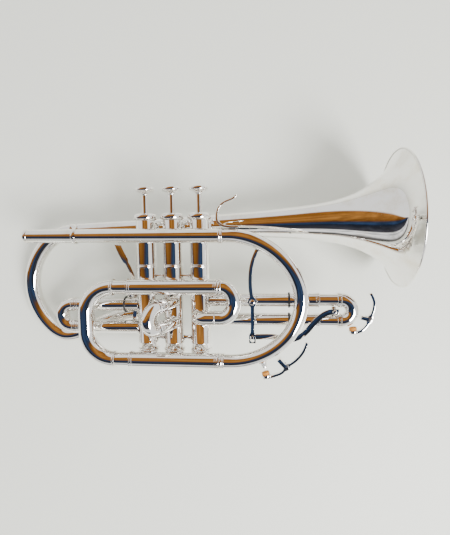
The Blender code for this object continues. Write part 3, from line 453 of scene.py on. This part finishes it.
# ---- bell and crook ----
class CORNET_OT_bell(bpy.types.Operator):
    """Spin the bell: a flared shell with a rolled rim"""
    bl_idname = "cornet.bell"
    bl_label = "Bell"

    def execute(self, context):
        steps = context.scene.cornet_shape.bell_steps
        knots = [(station, radius, 0.0) for station, radius in BELL_OUTLINE]
        outer = [(point.y, point.x) for point in spline_through(knots, 110)][::-1]
        inner = []
        for index, (radius, height) in enumerate(outer):
            before = outer[max(index - 1, 0)]
            after = outer[min(index + 1, len(outer) - 1)]
            along = Vector((after[0] - before[0], after[1] - before[1])).normalized()
            inner.append((radius + along.y * BELL_WALL, height - along.x * BELL_WALL))
        inner[-1] = (outer[-1][0] - BELL_WALL, 0.0)
        bead = torus_outline(RIM_RADIUS, RIM_WIRE, outer[0][1] + 0.15, 18)
        shape = bmesh.new()
        spin_outline(shape, outer + inner[::-1], BELL_TAIL, BELL_DIRECTION, steps, True)
        spin_outline(shape, bead, BELL_TAIL, BELL_DIRECTION, steps, True)
        silver_piece("bell_shell", shape, "horn", ["bell"], sharp=60.0)
        return {'FINISHED'}


class CORNET_OT_crook(bpy.types.Operator):
    """Sweep the shepherd's crook from the bell's tail to the first valve"""
    bl_idname = "cornet.crook"
    bl_label = "Shepherd's crook"

    def execute(self, context):
        tail = BELL_TAIL - BELL_DIRECTION * 0.02
        corner = CROOK_CORNER
        elbow = Vector((VALVE_XS[0] - corner, CROOK_END_Y, CROOK_Z + corner))
        route = [tail, tail - BELL_DIRECTION * 4.0] + [Vector(point) for point in CROOK_ROUTE]
        route += [elbow - Vector((3.0, 0.0, corner)), elbow - Vector((0.0, 0.0, corner))]
        count = 150
        points = spline_through(route, count)
        shares, widths = (0.0, 0.45, 0.75, 1.0), (7.2, 6.93, 6.4, 6.1)
        radii = list(np.interp(np.linspace(0.0, 1.0, count), shares, widths))
        back, right = Vector((0.0, 0.0, -corner)), Vector((corner, 0.0, 0.0))
        points += arc(elbow, back, right, 0.0, 90.0, 16)[1:] + [Vector((VALVE_XS[0], CROOK_END_Y, -8.0))]
        radii += [6.1] * 16
        shape = bmesh.new()
        sides = context.scene.cornet_shape.sides
        sweep(shape, points, radii, sides)
        joint = tail - BELL_DIRECTION * 1.0
        spin_outline(shape, sleeve_outline(7.35, 6.9, 9.0, ((1.2, 0.5, 0.25), (7.8, 0.5, 0.25))),
                     joint - BELL_DIRECTION * 8.0, BELL_DIRECTION, sides, True)
        foot = [(6.3, 0.0), (7.2, 0.0), (7.2, -0.8), (6.3, -2.6)]
        spin_outline(shape, foot, (VALVE_XS[0], CROOK_END_Y, -9.1), (0, 0, 1), sides, True)
        silver_piece("crook_tube", shape, "horn", ["bell_crook"], sharp=50.0)
        return {'FINISHED'}


# ---- leadpipe side ----
class CORNET_OT_leadpipe(bpy.types.Operator):
    """Turn the receiver and leadpipe and sweep the large bow"""
    bl_idname = "cornet.leadpipe"
    bl_label = "Leadpipe"

    def execute(self, context):
        sides = context.scene.cornet_shape.sides
        run = LEADPIPE_START - RECEIVER_START
        length = run.length - 0.05
        receiver = [(0.0, length), (6.7, length), (6.9, length - 0.3), (6.9, length - 2.5),
                    (6.6, length - 2.9), (6.1, length - 3.2), (5.95, length - 12.0), (5.7, 3.2),
                    (5.95, 2.9), (6.05, 2.5), (6.05, 0.7), (5.9, 0.25), (5.6, 0.05), (4.95, 0.0),
                    (4.75, 0.15), (4.3, 24.0), (0.0, 24.0)]
        turned_piece("receiver_tube", receiver, RECEIVER_START, run, sides, False,
                     "horn", "mouthpiece_receiver")
        run = LEADPIPE_END - LEADPIPE_START
        length = run.length
        pipe = [(0.0, length), (LEAD_RADIUS, length), (LEAD_RADIUS, 40.0), (5.8, 0.0), (0.0, 0.0)]
        turned_piece("leadpipe_tube", pipe, LEADPIPE_START, run, sides, False, "horn", "leadpipe")
        self.large_bow(sides)
        return {'FINISHED'}

    def large_bow(self, sides):
        """The bow is a little squarer above its middle than below it."""
        points = [Vector((LEADPIPE_END.x + 0.02, BOW_CENTRE.y + BOW_HEIGHT, LEAD_Z))]
        for angle in np.radians(np.linspace(90.0, -90.0, 110)):
            power = 1.85 if angle > 0.0 else 2.0
            reach = BOW_REACH * abs(math.cos(angle)) ** (2.0 / power)
            rise = BOW_HEIGHT * math.copysign(abs(math.sin(angle)) ** (2.0 / power), angle)
            points.append(Vector((BOW_CENTRE.x + reach, BOW_CENTRE.y + rise, LEAD_Z)))
        points.append(Vector((CROSSOVER_X + 0.02, BOW_CENTRE.y - BOW_HEIGHT, LEAD_Z)))
        shape = bmesh.new()
        sweep(shape, points, LEAD_RADIUS, sides)
        spin_outline(shape, nipple_outline(3.3), KEY_NIPPLES[0], KEY_CUPS[0][1], SMALL_STEPS, False)
        silver_piece("leadpipe_bow_tube", shape, "horn", ["leadpipe_bow"], sharp=50.0)
        ring = [(6.0, 1.6), (6.9, 1.6), (7.05, 1.35), (7.05, 0.55), (6.75, 0.25), (6.75, -0.25),
                (7.05, -0.55), (7.05, -1.35), (6.9, -1.6), (6.0, -1.6)]
        for name, y in (("upper", points[0].y), ("lower", points[-1].y)):
            turned_piece(f"bow_ferrule_{name}", ring, (points[0].x + 2.6, y, LEAD_Z), (1, 0, 0), sides,
                         True, "horn", f"leadpipe_ferrule_{name}", sharp=50.0)


class CORNET_OT_tuning_slide(bpy.types.Operator):
    """Sweep the main tuning slide and turn its two outer sleeves"""
    bl_idname = "cornet.tuning_slide"
    bl_label = "Main tuning slide"

    def execute(self, context):
        sides = context.scene.cornet_shape.sides
        shoulder = TUNING_BOW_X + TUNING_CORNER
        left = Vector((TUNING_CORNER, 0.0, 0.0))
        down = Vector((0.0, TUNING_CORNER, 0.0))
        upper = Vector((shoulder, TUNING_YS[0], LEAD_Z))
        lower = Vector((shoulder, TUNING_YS[1], LEAD_Z))
        bow = arc(upper - down, -left, down, 90.0, 0.0, 30)
        bow += arc(lower + down, -left, down, 0.0, -90.0, 30)
        shape = bmesh.new()
        sweep(shape, bow, TUNING_BOW_RADIUS, sides)
        ferrule = [(0.0, 1.9), (7.0, 1.9), (7.3, 1.6), (7.3, 1.05), (7.05, 0.85), (7.3, 0.65),
                   (7.3, 0.1), (7.0, -0.3), (0.0, -0.3)]
        for end in (upper, lower):
            length = TUNING_LEG_END - end.x
            leg = [(0.0, length), (5.7, length), (5.95, length - 0.3), (5.95, 0.0), (0.0, 0.0)]
            spin_outline(shape, leg, end, (1, 0, 0), sides, False)
            spin_outline(shape, ferrule, end, (1, 0, 0), sides, False)
        silver_piece("tuning_slide_tube", shape, "tuning_slide", ["main_tuning_slide"], sharp=40.0)
        length = CROSSOVER_X - 0.05 - TUNING_SLEEVE_LEFT
        beads = ((1.0, 0.75, 0.55), (2.9, 0.35, 0.3),
                 (length - 1.1, 0.9, 0.5), (length - 3.4, 0.35, 0.3))
        outline = sleeve_outline(6.8, 6.3, length, beads)
        for name, y in zip(("upper", "lower"), TUNING_YS):
            turned_piece(f"tuning_outer_{name}", outline, (TUNING_SLEEVE_LEFT, y, LEAD_Z), (1, 0, 0),
                         sides, True, "horn", f"tuning_sleeve_{name}")
        return {'FINISHED'}


class CORNET_OT_crossover(bpy.types.Operator):
    """Sweep the short bow from the tuning slide to the third valve"""
    bl_idname = "cornet.crossover"
    bl_label = "Crossover bow"

    def execute(self, context):
        sides = context.scene.cornet_shape.sides
        radius = (TUNING_YS[0] - CROSSOVER_LOWER_Y) / 2.0
        start = Vector((CROSSOVER_X + 0.05, TUNING_YS[0], LEAD_Z))
        centre = start + Vector((1.0, -radius, 0.0))
        right, up = Vector((radius - 1.4, 0.0, 0.0)), Vector((0.0, radius, 0.0))
        turn = CROSSOVER_TURN
        elbow = Vector((VALVE_XS[2] + turn, CROSSOVER_LOWER_Y, LEAD_Z - turn))
        back, out = Vector((-turn, 0.0, 0.0)), Vector((0.0, 0.0, turn))
        points = [start] + arc(centre, right, up, 90.0, -90.0, 48)
        points += arc(elbow, back, out, 90.0, 0.0, 20)
        points.append(Vector((VALVE_XS[2], CROSSOVER_LOWER_Y, 8.2)))
        shape = bmesh.new()
        sweep(shape, points, CROSSOVER_RADIUS, sides)
        collar = [(6.2, 2.4), (7.3, 2.4), (7.6, 2.0), (7.6, 0.4), (7.3, 0.0), (6.2, 0.0)]
        spin_outline(shape, collar, start, (1, 0, 0), sides, True)
        ring = torus_outline(6.35, 0.45, 0.0)
        spin_outline(shape, ring, (CROSSOVER_X - 3.4, CROSSOVER_LOWER_Y, LEAD_Z), (1, 0, 0), sides, True)
        silver_piece("crossover_tube", shape, "horn", ["crossover_bow"], sharp=50.0)
        return {'FINISHED'}


# ---- valves ----
class CORNET_OT_valves(bpy.types.Operator):
    """Turn the casings, caps, stems and finger buttons of the three valves"""
    bl_idname = "cornet.valves"
    bl_label = "Valves"

    def execute(self, context):
        for number, x in enumerate(VALVE_XS, start=1):
            self.fixed_parts(number, (x, 0.0, 0.0))
            self.moving_parts(number, (x, 0.0, 0.0))
        self.braces()
        return {'FINISHED'}

    def fixed_parts(self, number, place):
        casing = [(8.15, CASING_TOP), (8.3, CASING_TOP - 0.2), (8.3, 34.3), (8.45, 34.1), (8.9, 33.7),
                  (8.9, 3.3), (9.2, 3.1), (9.3, 2.8), (9.3, 2.4), (9.05, 2.1), (9.3, 1.8), (9.3, 1.2),
                  (9.2, 0.8), (8.9, 0.6), (8.9, -65.6), (9.05, -65.8), (9.05, -66.4), (8.9, -66.6),
                  (8.9, CASING_BOTTOM + 0.2), (8.7, CASING_BOTTOM), (7.9, CASING_BOTTOM), (7.9, CASING_TOP)]
        self.turn(f"casing_{number}_tube", casing, place, "horn", f"valve_casing_{number}", True)
        floor = CASING_BOTTOM - 0.05
        ceiling = CASING_TOP + 0.05
        top = [(10.1, 46.5), (10.3, 46.2), (10.3, 43.3), (10.1, 43.0), (9.6, 42.7), (8.9, ceiling),
               (3.2, ceiling), (3.2, 47.5), (3.5, 47.7), (8.3, 47.7), (9.0, 47.4), (9.4, 46.9)]
        self.turn(f"top_cap_{number}_cover", top, place, "horn", f"top_cap_{number}", True)
        bottom = [(0.0, floor - 8.8), (7.3, floor - 8.8), (7.3, floor), (9.2, floor), (9.5, floor - 0.3),
                  (9.6, floor - 0.8), (9.6, floor - 2.0), (9.3, floor - 2.3), (9.6, floor - 2.6),
                  (9.6, floor - 4.2), (9.4, floor - 4.6), (9.1, floor - 5.0), (9.0, floor - 8.4),
                  (8.8, floor - 9.2), (8.2, floor - 9.6), (3.0, floor - 9.6), (2.6, floor - 9.2),
                  (0.0, floor - 9.2)]
        self.turn(f"bottom_cap_{number}_cover", bottom, place, "horn", f"bottom_cap_{number}", False)

    def moving_parts(self, number, place):
        body = f"valve_{number}"
        stem = [(0.0, 63.6), (2.3, 63.6), (2.6, 63.3), (2.6, 15.3), (5.0, 14.3), (5.0, 12.3),
                (0.0, 12.3)]
        self.turn(f"stem_{number}_rod", stem, place, body, f"valve_stem_{number}", False)
        button = [(0.0, 69.7), (5.4, 69.8), (6.8, 70.1), (7.3, 70.4), (7.7, 70.35), (8.05, 70.0),
                  (8.2, 69.5), (8.2, 68.0), (8.0, 67.5), (7.4, 67.0), (6.0, 66.4), (4.6, 65.8),
                  (3.7, 65.2), (3.3, 64.6), (3.1, 63.9), (0.0, 63.9)]
        self.turn(f"button_{number}_top", button, place, body, f"finger_button_{number}", False)

    def braces(self):
        reach = VALVE_XS[1] - VALVE_XS[0] - 2.0 * CASING_RADIUS
        half = reach / 2.0 - 0.05
        for level, y, radius in (("upper", -7.0, 1.9), ("lower", -62.0, 2.6)):
            for name, x in (("12", -12.0), ("23", 12.0)):
                shoulder, waist = radius * 0.95, radius * 0.72
                outline = [(0.0, half), (radius, half), (shoulder, half * 0.7), (waist, half * 0.2),
                           (waist, -half * 0.2), (shoulder, -half * 0.7), (radius, -half), (0.0, -half)]
                turned_piece(f"brace_{name}_{level}", outline, (x, y, 0.0), (1, 0, 0), SMALL_STEPS,
                             False, "horn", f"casing_brace_{name}_{level}", sharp=60.0)

    def turn(self, name, outline, place, body, node, closed):
        """A part turned round its valve's axis."""
        turned_piece(name, outline, place, (0, 1, 0), ROUND_STEPS, closed, body, node)


# ---- valve slides ----
def seat(shape, direction, x, radius):
    """Mitre the end of a tube so that it sits on the casing at x instead of inside it."""
    spread = direction.x ** 2 + direction.z ** 2
    for vertex in shape.verts:
        across, out = vertex.co.x - x, vertex.co.z
        inside = radius ** 2 - across ** 2 - out ** 2
        if inside > 0.0:
            lean = across * direction.x + out * direction.z
            vertex.co += direction * ((math.sqrt(lean ** 2 + spread * inside) - lean) / spread)


def outer_sleeve(name, foot, direction, length, node, sides, casing_x):
    """One outer sleeve, with a lip bead and a second thin bead behind it."""
    beads = ((length - 0.8, 0.7, 0.4), (length - 2.6, 0.3, 0.25))
    shape = bmesh.new()
    spin_outline(shape, sleeve_outline(6.0, 5.55, length, beads), foot, direction, sides, True)
    seat(shape, direction, casing_x, CASING_SEAT)
    return silver_piece(name, shape, "horn", [node], sharp=40.0)


def u_bow(shape, upper, lower, heading, leg, sides):
    """Two legs, double-banded ferrules and a half-ring bow that points along heading."""
    middle = (upper + lower) / 2.0
    half = (upper - lower) / 2.0
    neck = heading * SLIDE_NECK
    bow = arc(middle + neck, heading * half.length, half, 90.0, -90.0, 48)
    sweep(shape, [upper + neck * 0.9] + bow + [lower + neck * 0.9], SLIDE_BOW_RADIUS, sides)
    collar = [(0.0, SLIDE_NECK), (6.2, SLIDE_NECK), (6.5, 3.1), (6.5, 2.5), (6.25, 2.25),
              (6.25, 1.15), (6.5, 0.9), (6.5, 0.25), (6.2, 0.0), (0.0, 0.0)]
    for end in (upper, lower):
        rod = [(0.0, 0.3), (5.15, 0.3), (5.15, 0.2 - leg), (4.9, -leg), (0.0, -leg)]
        spin_outline(shape, rod, end, heading, sides, False)
        spin_outline(shape, collar, end, heading, sides, False)


class CORNET_OT_valve_slides(bpy.types.Operator):
    """Turn the sleeves and sweep the bows of the three valve slides"""
    bl_idname = "cornet.valve_slides"
    bl_label = "Valve slides"

    def execute(self, context):
        sides = context.scene.cornet_shape.sides
        self.first(sides)
        self.second(sides)
        self.third(sides)
        return {'FINISHED'}

    def first(self, sides):
        heading = Vector((-1.0, 0.0, 0.0))
        foot_x = VALVE_XS[0] - SLIDE_FOOT
        for name, y in zip(("upper", "lower"), FIRST_YS):
            foot = Vector((foot_x, y, SLIDE_Z))
            outer_sleeve(f"first_outer_{name}", foot, heading, foot_x - FIRST_SLEEVE_LEFT,
                         f"first_sleeve_{name}", sides, VALVE_XS[0])
        ends = [Vector((FIRST_SLEEVE_LEFT - 0.1, y, SLIDE_Z)) for y in FIRST_YS]
        shape = bmesh.new()
        u_bow(shape, ends[0], ends[1], heading, FIRST_LEG, sides)
        silver_piece("first_slide_bow", shape, "first_slide", ["first_slide"], sharp=40.0)
        shape = bmesh.new()
        place = (BUMPER_X, FIRST_YS[0], SLIDE_Z)
        spin_outline(shape, torus_outline(6.65, 0.75, 0.0), place, (1, 0, 0), sides, True)
        make_piece("bumper_ring", shape, "horn", ["first_slide_bumper"], "bumper_rubber",
                   finishes()["ring rubber"])

    def second(self, sides):
        for name, y in zip(("upper", "lower"), SECOND_YS):
            foot = Vector((SECOND_FOOT_X, y, 0.0)) + SECOND_HEADING * SECOND_SLEEVE_START
            outer_sleeve(f"second_outer_{name}", foot, SECOND_HEADING, SECOND_SLEEVE_LENGTH,
                         f"second_sleeve_{name}", sides, VALVE_XS[1])
        ends = [Vector((SECOND_FOOT_X, y, 0.0)) + SECOND_HEADING * SECOND_FERRULE_START
                for y in SECOND_YS]
        shape = bmesh.new()
        u_bow(shape, ends[0], ends[1], SECOND_HEADING, SECOND_LEG, sides)
        silver_piece("second_slide_bow", shape, "second_slide", ["second_slide"], sharp=40.0)

    def third(self, sides):
        heading = Vector((1.0, 0.0, 0.0))
        foot_x = VALVE_XS[2] + SLIDE_FOOT
        for name, y in zip(("upper", "lower"), THIRD_YS):
            foot = Vector((foot_x, y, SLIDE_Z))
            outer_sleeve(f"third_outer_{name}", foot, heading, THIRD_SLEEVE_RIGHT - foot_x,
                         f"third_sleeve_{name}", sides, VALVE_XS[2])
            shape = bmesh.new()
            band = [(5.9, 0.8), (6.5, 0.8), (6.62, 0.55), (6.62, -0.55), (6.5, -0.8), (5.9, -0.8)]
            spin_outline(shape, band, (THIRD_RING_X, y, SLIDE_Z), (1, 0, 0), sides, True)
            make_piece(f"third_ring_{name}", shape, "horn", [], "bumper_rubber", finishes()["ring rubber"])
        ends = [Vector((THIRD_BOW_X - SLIDE_NECK, y, SLIDE_Z)) for y in THIRD_YS]
        shape = bmesh.new()
        u_bow(shape, ends[0], ends[1], heading, THIRD_LEG, sides)
        spin_outline(shape, nipple_outline(3.2), KEY_NIPPLES[1], KEY_CUPS[1][1], SMALL_STEPS, False)
        silver_piece("third_slide_bow", shape, "third_slide", ["third_slide"], sharp=40.0)


# ---- levers, keys and the finger hook ----
def coil(shape, centre, radius, wire, turns, low, high):
    """A torsion spring round an axis that points out of the player's right side."""
    steps = turns * 20
    points = []
    for step in range(steps + 1):
        angle = math.tau * turns * step / steps
        points.append(Vector((centre.x + radius * math.cos(angle), centre.y + radius * math.sin(angle),
                              low + (high - low) * step / steps)))
    sweep(shape, points, wire, 8)


class CORNET_OT_levers(bpy.types.Operator):
    """Round the edges of the hook, triggers, links and water keys, and add their springs and corks"""
    bl_idname = "cornet.levers"
    bl_label = "Triggers and keys"

    def execute(self, context):
        edge = context.scene.cornet_shape.edge
        flat_parts = (("finger_hook", "horn"), ("first_trigger_lever", "first_trigger"),
                      ("first_trigger_link", "first_slide"), ("third_trigger_lever", "third_trigger"),
                      ("third_trigger_link", "third_slide"), ("third_slide_brace", "third_slide"),
                      ("water_key_lever_1", "water_key_1"), ("water_key_lever_2", "water_key_2"),
                      ("water_key_saddle_1", "horn"), ("water_key_saddle_2", "third_slide"))
        for node, body in flat_parts:
            silver_piece(f"{node}_shaped", refined(node, edge), body, [node], in_world=True, sharp=50.0)
        self.posts()
        self.springs_and_corks()
        return {'FINISHED'}

    def posts(self):
        high = THIRD_PIVOT.z + PLATE_HALF
        low = THIRD_PIVOT.z - PLATE_HALF
        post = [(0.0, high + 0.9), (0.5, high + 0.9), (0.5, high + 1.2), (1.9, high + 1.2),
                (2.3, high + 0.9), (2.4, high + 0.3), (1.2, high + 0.3), (1.2, low - 0.3),
                (3.0, low - 0.3), (3.1, low - 0.7), (3.4, 5.0), (3.4, 4.6), (0.0, 4.6)]
        turned_piece("third_post_screw", post, (THIRD_PIVOT.x, THIRD_PIVOT.y, 0.0), (0, 0, 1),
                     SCREW_STEPS, False, "horn", "third_trigger_post")
        high = FIRST_PIVOT.z + PLATE_HALF
        low = FIRST_PIVOT.z - PLATE_HALF
        post = [(0.0, 1.2), (1.5, 1.2), (2.0, 0.8), (2.0, high + 0.3), (1.2, high + 0.3),
                (1.2, low - 1.2), (1.0, low - 1.4), (0.0, low - 1.4)]
        turned_piece("first_post_screw", post, (FIRST_PIVOT.x, FIRST_PIVOT.y, 0.0), (0, 0, 1),
                     SCREW_STEPS, False, "horn", "first_trigger_post")

    def springs_and_corks(self):
        wire = finishes()["spring wire"]
        shape = bmesh.new()
        coil(shape, THIRD_PIVOT, 3.6, 0.28, 3, 5.4, 7.1)
        make_piece("third_trigger_spring", shape, "horn", [], "spring_steel", wire)
        bodies = (("water_key_1", "horn"), ("water_key_2", "third_slide"))
        for number, (key_body, saddle_body) in enumerate(bodies, start=1):
            pivot = KEY_PIVOTS[number - 1]
            shape = bmesh.new()
            for side in (-1.0, 1.0):
                coil(shape, pivot, 1.75, 0.22, 2, pivot.z + side * 2.35, pivot.z + side * 2.85)
            make_piece(f"key_spring_{number}", shape, saddle_body, [], "spring_steel", wire)
            cup, outward = KEY_CUPS[number - 1]
            cork = [(0.0, CORK_DEPTH), (2.9, CORK_DEPTH), (3.15, 2.4), (3.2, 1.3), (3.15, 0.2),
                    (2.9, 0.0), (0.0, 0.0)]
            shape = bmesh.new()
            seat_place = cup - outward * (CUP_FACE + CORK_DEPTH)
            spin_outline(shape, cork, seat_place, outward, SCREW_STEPS, False)
            make_piece(f"key_cork_{number}", shape, key_body, [f"water_key_cork_{number}"], "cork",
                       finishes()["key cork"], sharp=40.0)


class CORNET_OT_inner_parts(bpy.types.Operator):
    """Give the pistons and springs inside the casings their finishes"""
    bl_idname = "cornet.inner_parts"
    bl_label = "Inner parts"

    def execute(self, context):
        for name, node in frame["nodes"].items():
            if not node.hide_render:
                finish = "spring wire" if name.startswith("valve_spring") else "bare silver"
                node.data.materials.clear()
                node.data.materials.append(finishes()[finish])
        return {'FINISHED'}


# ---- stage ----
def table_material(colour):
    """Smooth pale laminate, faintly mottled."""
    material, tree, shader = new_material("table top")
    shader.inputs["Roughness"].default_value = 0.55
    place = tree.nodes.new('ShaderNodeTexCoord')
    mottle = tree.nodes.new('ShaderNodeTexNoise')
    mottle.inputs["Scale"].default_value = 9.0
    tint = tree.nodes.new('ShaderNodeMix')
    tint.data_type = 'RGBA'
    tint.inputs[6].default_value = (*[0.985 * channel for channel in colour], 1.0)
    tint.inputs[7].default_value = (*colour, 1.0)
    tree.links.new(place.outputs["Object"], mottle.inputs["Vector"])
    tree.links.new(mottle.outputs["Fac"], tint.inputs[0])
    tree.links.new(tint.outputs[2], shader.inputs["Base Color"])
    return material


# angle from straight up towards the top of the room, in degrees, and the colour there
ROOM_BANDS = ((-180.0, (0.92, 0.92, 0.90)), (-98.0, (0.80, 0.76, 0.66)), (-88.0, (0.42, 0.37, 0.28)),
              (-83.0, (0.09, 0.08, 0.07)), (-74.0, (0.13, 0.13, 0.13)), (-70.0, (0.80, 0.80, 0.80)),
              (-62.0, (1.0, 1.0, 1.0)), (-58.0, (0.40, 0.41, 0.43)), (-54.0, (0.95, 0.95, 0.95)),
              (-49.0, (0.05, 0.05, 0.06)), (-24.0, (0.012, 0.016, 0.028)), (-17.0, (0.020, 0.042, 0.10)),
              (-9.0, (0.028, 0.036, 0.06)), (-5.0, (0.13, 0.050, 0.010)), (14.0, (0.36, 0.155, 0.035)),
              (40.0, (0.29, 0.115, 0.022)), (62.0, (0.19, 0.07, 0.014)), (66.0, (0.9, 0.86, 0.80)),
              (73.0, (1.0, 1.0, 0.98)), (180.0, (1.0, 1.0, 0.98)))
ROOM_LEFT = (-76.0, -68.0)                  # where the bands fade in, along a line that leans
ROOM_LEFT_SLANT = 1.1
ROOM_RIGHT = (38.0, 30.0)                   # sideways angles between which they fade out
ROOM_SLANT = 0.3                            # how far the bands lean, in radians at the side of the room


def room_world(strength):
    """Even soft light; polished metal sees the room's dark beam and wooden panel as well."""
    world = bpy.data.worlds.new("studio room")
    world.use_nodes = True
    tree = world.node_tree
    link = tree.links.new
    back = tree.nodes["Background"]
    back.inputs["Strength"].default_value = strength
    place = tree.nodes.new('ShaderNodeTexCoord')
    parts = tree.nodes.new('ShaderNodeSeparateXYZ')
    link(place.outputs["Generated"], parts.inputs["Vector"])

    def math_node(operation, first, second):
        node = tree.nodes.new('ShaderNodeMath')
        node.operation = operation
        for socket, value in zip(node.inputs, (first, second)):
            if isinstance(value, float):
                socket.default_value = value
            else:
                link(value, socket)
        return node.outputs["Value"]

    def fade(value, start, end):
        node = tree.nodes.new('ShaderNodeMapRange')
        node.inputs["From Min"].default_value = math.radians(start)
        node.inputs["From Max"].default_value = math.radians(end)
        link(value, node.inputs["Value"])
        return node.outputs["Result"]

    along = math_node('ARCTAN2', parts.outputs["Y"], parts.outputs["Z"])
    across = math_node('ARCTAN2', parts.outputs["X"], parts.outputs["Z"])
    band = math_node('SUBTRACT', along, math_node('MULTIPLY', parts.outputs["X"], ROOM_SLANT))
    leaning = math_node('SUBTRACT', across, math_node('MULTIPLY', along, ROOM_LEFT_SLANT))
    inside = math_node('MULTIPLY', fade(leaning, *ROOM_LEFT), fade(across, *ROOM_RIGHT))
    grain = tree.nodes.new('ShaderNodeTexNoise')
    grain.inputs["Scale"].default_value = 7.0
    grain.inputs["Detail"].default_value = 3.0
    link(place.outputs["Generated"], grain.inputs["Vector"])
    planks = tree.nodes.new('ShaderNodeMapRange')
    planks.inputs["From Min"].default_value = 0.35
    planks.inputs["From Max"].default_value = 0.65
    planks.inputs["To Min"].default_value = 0.72
    planks.inputs["To Max"].default_value = 1.3
    link(grain.outputs["Fac"], planks.inputs["Value"])
    grained = tree.nodes.new('ShaderNodeVectorMath')
    grained.operation = 'SCALE'
    link(planks.outputs["Result"], grained.inputs["Scale"])
    ramp = tree.nodes.new('ShaderNodeValToRGB')
    stops = ramp.color_ramp.elements
    while len(stops) < len(ROOM_BANDS):
        stops.new(0.5)
    for stop, (degrees, colour) in zip(stops, ROOM_BANDS):
        stop.position = (degrees + 180.0) / 360.0
        stop.color = (*colour, 1.0)
    link(fade(band, -180.0, 180.0), ramp.inputs["Fac"])
    panel = tree.nodes.new('ShaderNodeMix')
    panel.data_type = 'RGBA'
    panel.inputs[6].default_value = (1.0, 1.0, 0.99, 1.0)
    link(inside, panel.inputs[0])
    link(ramp.outputs["Color"], grained.inputs[0])
    link(grained.outputs["Vector"], panel.inputs[7])
    seen = tree.nodes.new('ShaderNodeLightPath')
    choice = tree.nodes.new('ShaderNodeMix')
    choice.data_type = 'RGBA'
    choice.inputs[6].default_value = (1.0, 1.0, 0.985, 1.0)
    link(panel.outputs[2], choice.inputs[7])
    link(seen.outputs["Is Glossy Ray"], choice.inputs[0])
    link(choice.outputs[2], back.inputs["Color"])
    return world


class CORNET_OT_stage(bpy.types.Operator):
    """Lay the table, hang the window light and set up the camera"""
    bl_idname = "cornet.stage"
    bl_label = "Stage"

    def execute(self, context):
        look = context.scene.cornet_look
        shape = bmesh.new()
        bmesh.ops.create_grid(shape, x_segments=4, y_segments=4, size=TABLE_HALF)
        mesh = bpy.data.meshes.new("table_top")
        shape.to_mesh(mesh)
        shape.free()
        mesh.materials.append(table_material(look.table))
        floor = bpy.data.objects.new("table_top", mesh)
        context.scene.collection.objects.link(floor)
        context.scene.world = room_world(look.sky)
        self.soft_light(context, "window", WINDOW_PLACE, WINDOW_SIZE, WINDOW_POWER)
        self.camera(context)
        return {'FINISHED'}

    def soft_light(self, context, name, place, size, power):
        data = bpy.data.lights.new(name, 'AREA')
        data.size = size
        data.energy = power
        light = bpy.data.objects.new(name, data)
        light.location = place
        light.rotation_mode = 'QUATERNION'
        light.rotation_quaternion = (-place).to_track_quat('-Z', 'Y')
        context.scene.collection.objects.link(light)

    def camera(self, context):
        look = Vector((-math.sin(CAMERA_YAW) * math.cos(CAMERA_PITCH), -math.sin(CAMERA_PITCH),
                       -math.cos(CAMERA_YAW) * math.cos(CAMERA_PITCH)))
        right = look.cross(Vector((0, 1, 0))).normalized()
        up = right.cross(look)
        turn, lean = math.cos(CAMERA_ROLL), math.sin(CAMERA_ROLL)
        right, up = right * turn - up * lean, up * turn + right * lean
        data = bpy.data.cameras.new("camera")
        data.lens = CAMERA_LENS
        data.clip_start = 0.01
        camera = bpy.data.objects.new("camera", data)
        pose = (AXES @ Matrix((right, up, -look)).transposed()).to_4x4()
        camera.matrix_world = Matrix.Translation(INSTRUMENT @ CAMERA_PLACE) @ pose
        context.scene.collection.objects.link(camera)
        context.scene.camera = camera


class CORNET_PT_builder(bpy.types.Panel):
    """Sizes, colours and the buttons that make each group of pieces"""
    bl_idname = "CORNET_PT_builder"
    bl_label = "Cornet"
    bl_space_type = 'VIEW_3D'
    bl_region_type = 'UI'
    bl_category = "Cornet"

    def draw(self, context):
        for settings in (context.scene.cornet_shape, context.scene.cornet_look):
            for name in type(settings).__annotations__:
                self.layout.prop(settings, name)
        for step in STEPS:
            self.layout.operator(step.bl_idname)


STEPS = (CORNET_OT_bell, CORNET_OT_crook, CORNET_OT_leadpipe, CORNET_OT_tuning_slide,
         CORNET_OT_crossover, CORNET_OT_valves, CORNET_OT_valve_slides, CORNET_OT_levers,
         CORNET_OT_inner_parts, CORNET_OT_stage)
CLASSES = (CornetShape, CornetLook) + STEPS + (CORNET_PT_builder,)


def register():
    for each in CLASSES:
        bpy.utils.register_class(each)
    bpy.types.Scene.cornet_shape = bpy.props.PointerProperty(type=CornetShape)
    bpy.types.Scene.cornet_look = bpy.props.PointerProperty(type=CornetLook)


def unregister():
    del bpy.types.Scene.cornet_look
    del bpy.types.Scene.cornet_shape
    for each in reversed(CLASSES):
        bpy.utils.unregister_class(each)


def main():
    register()
    bpy.ops.cornet.bell()
    bpy.ops.cornet.crook()
    bpy.ops.cornet.leadpipe()
    bpy.ops.cornet.tuning_slide()
    bpy.ops.cornet.crossover()
    bpy.ops.cornet.valves()
    bpy.ops.cornet.valve_slides()
    bpy.ops.cornet.levers()
    bpy.ops.cornet.inner_parts()
    bpy.ops.cornet.stage()


if __name__ == "__main__":
    main()
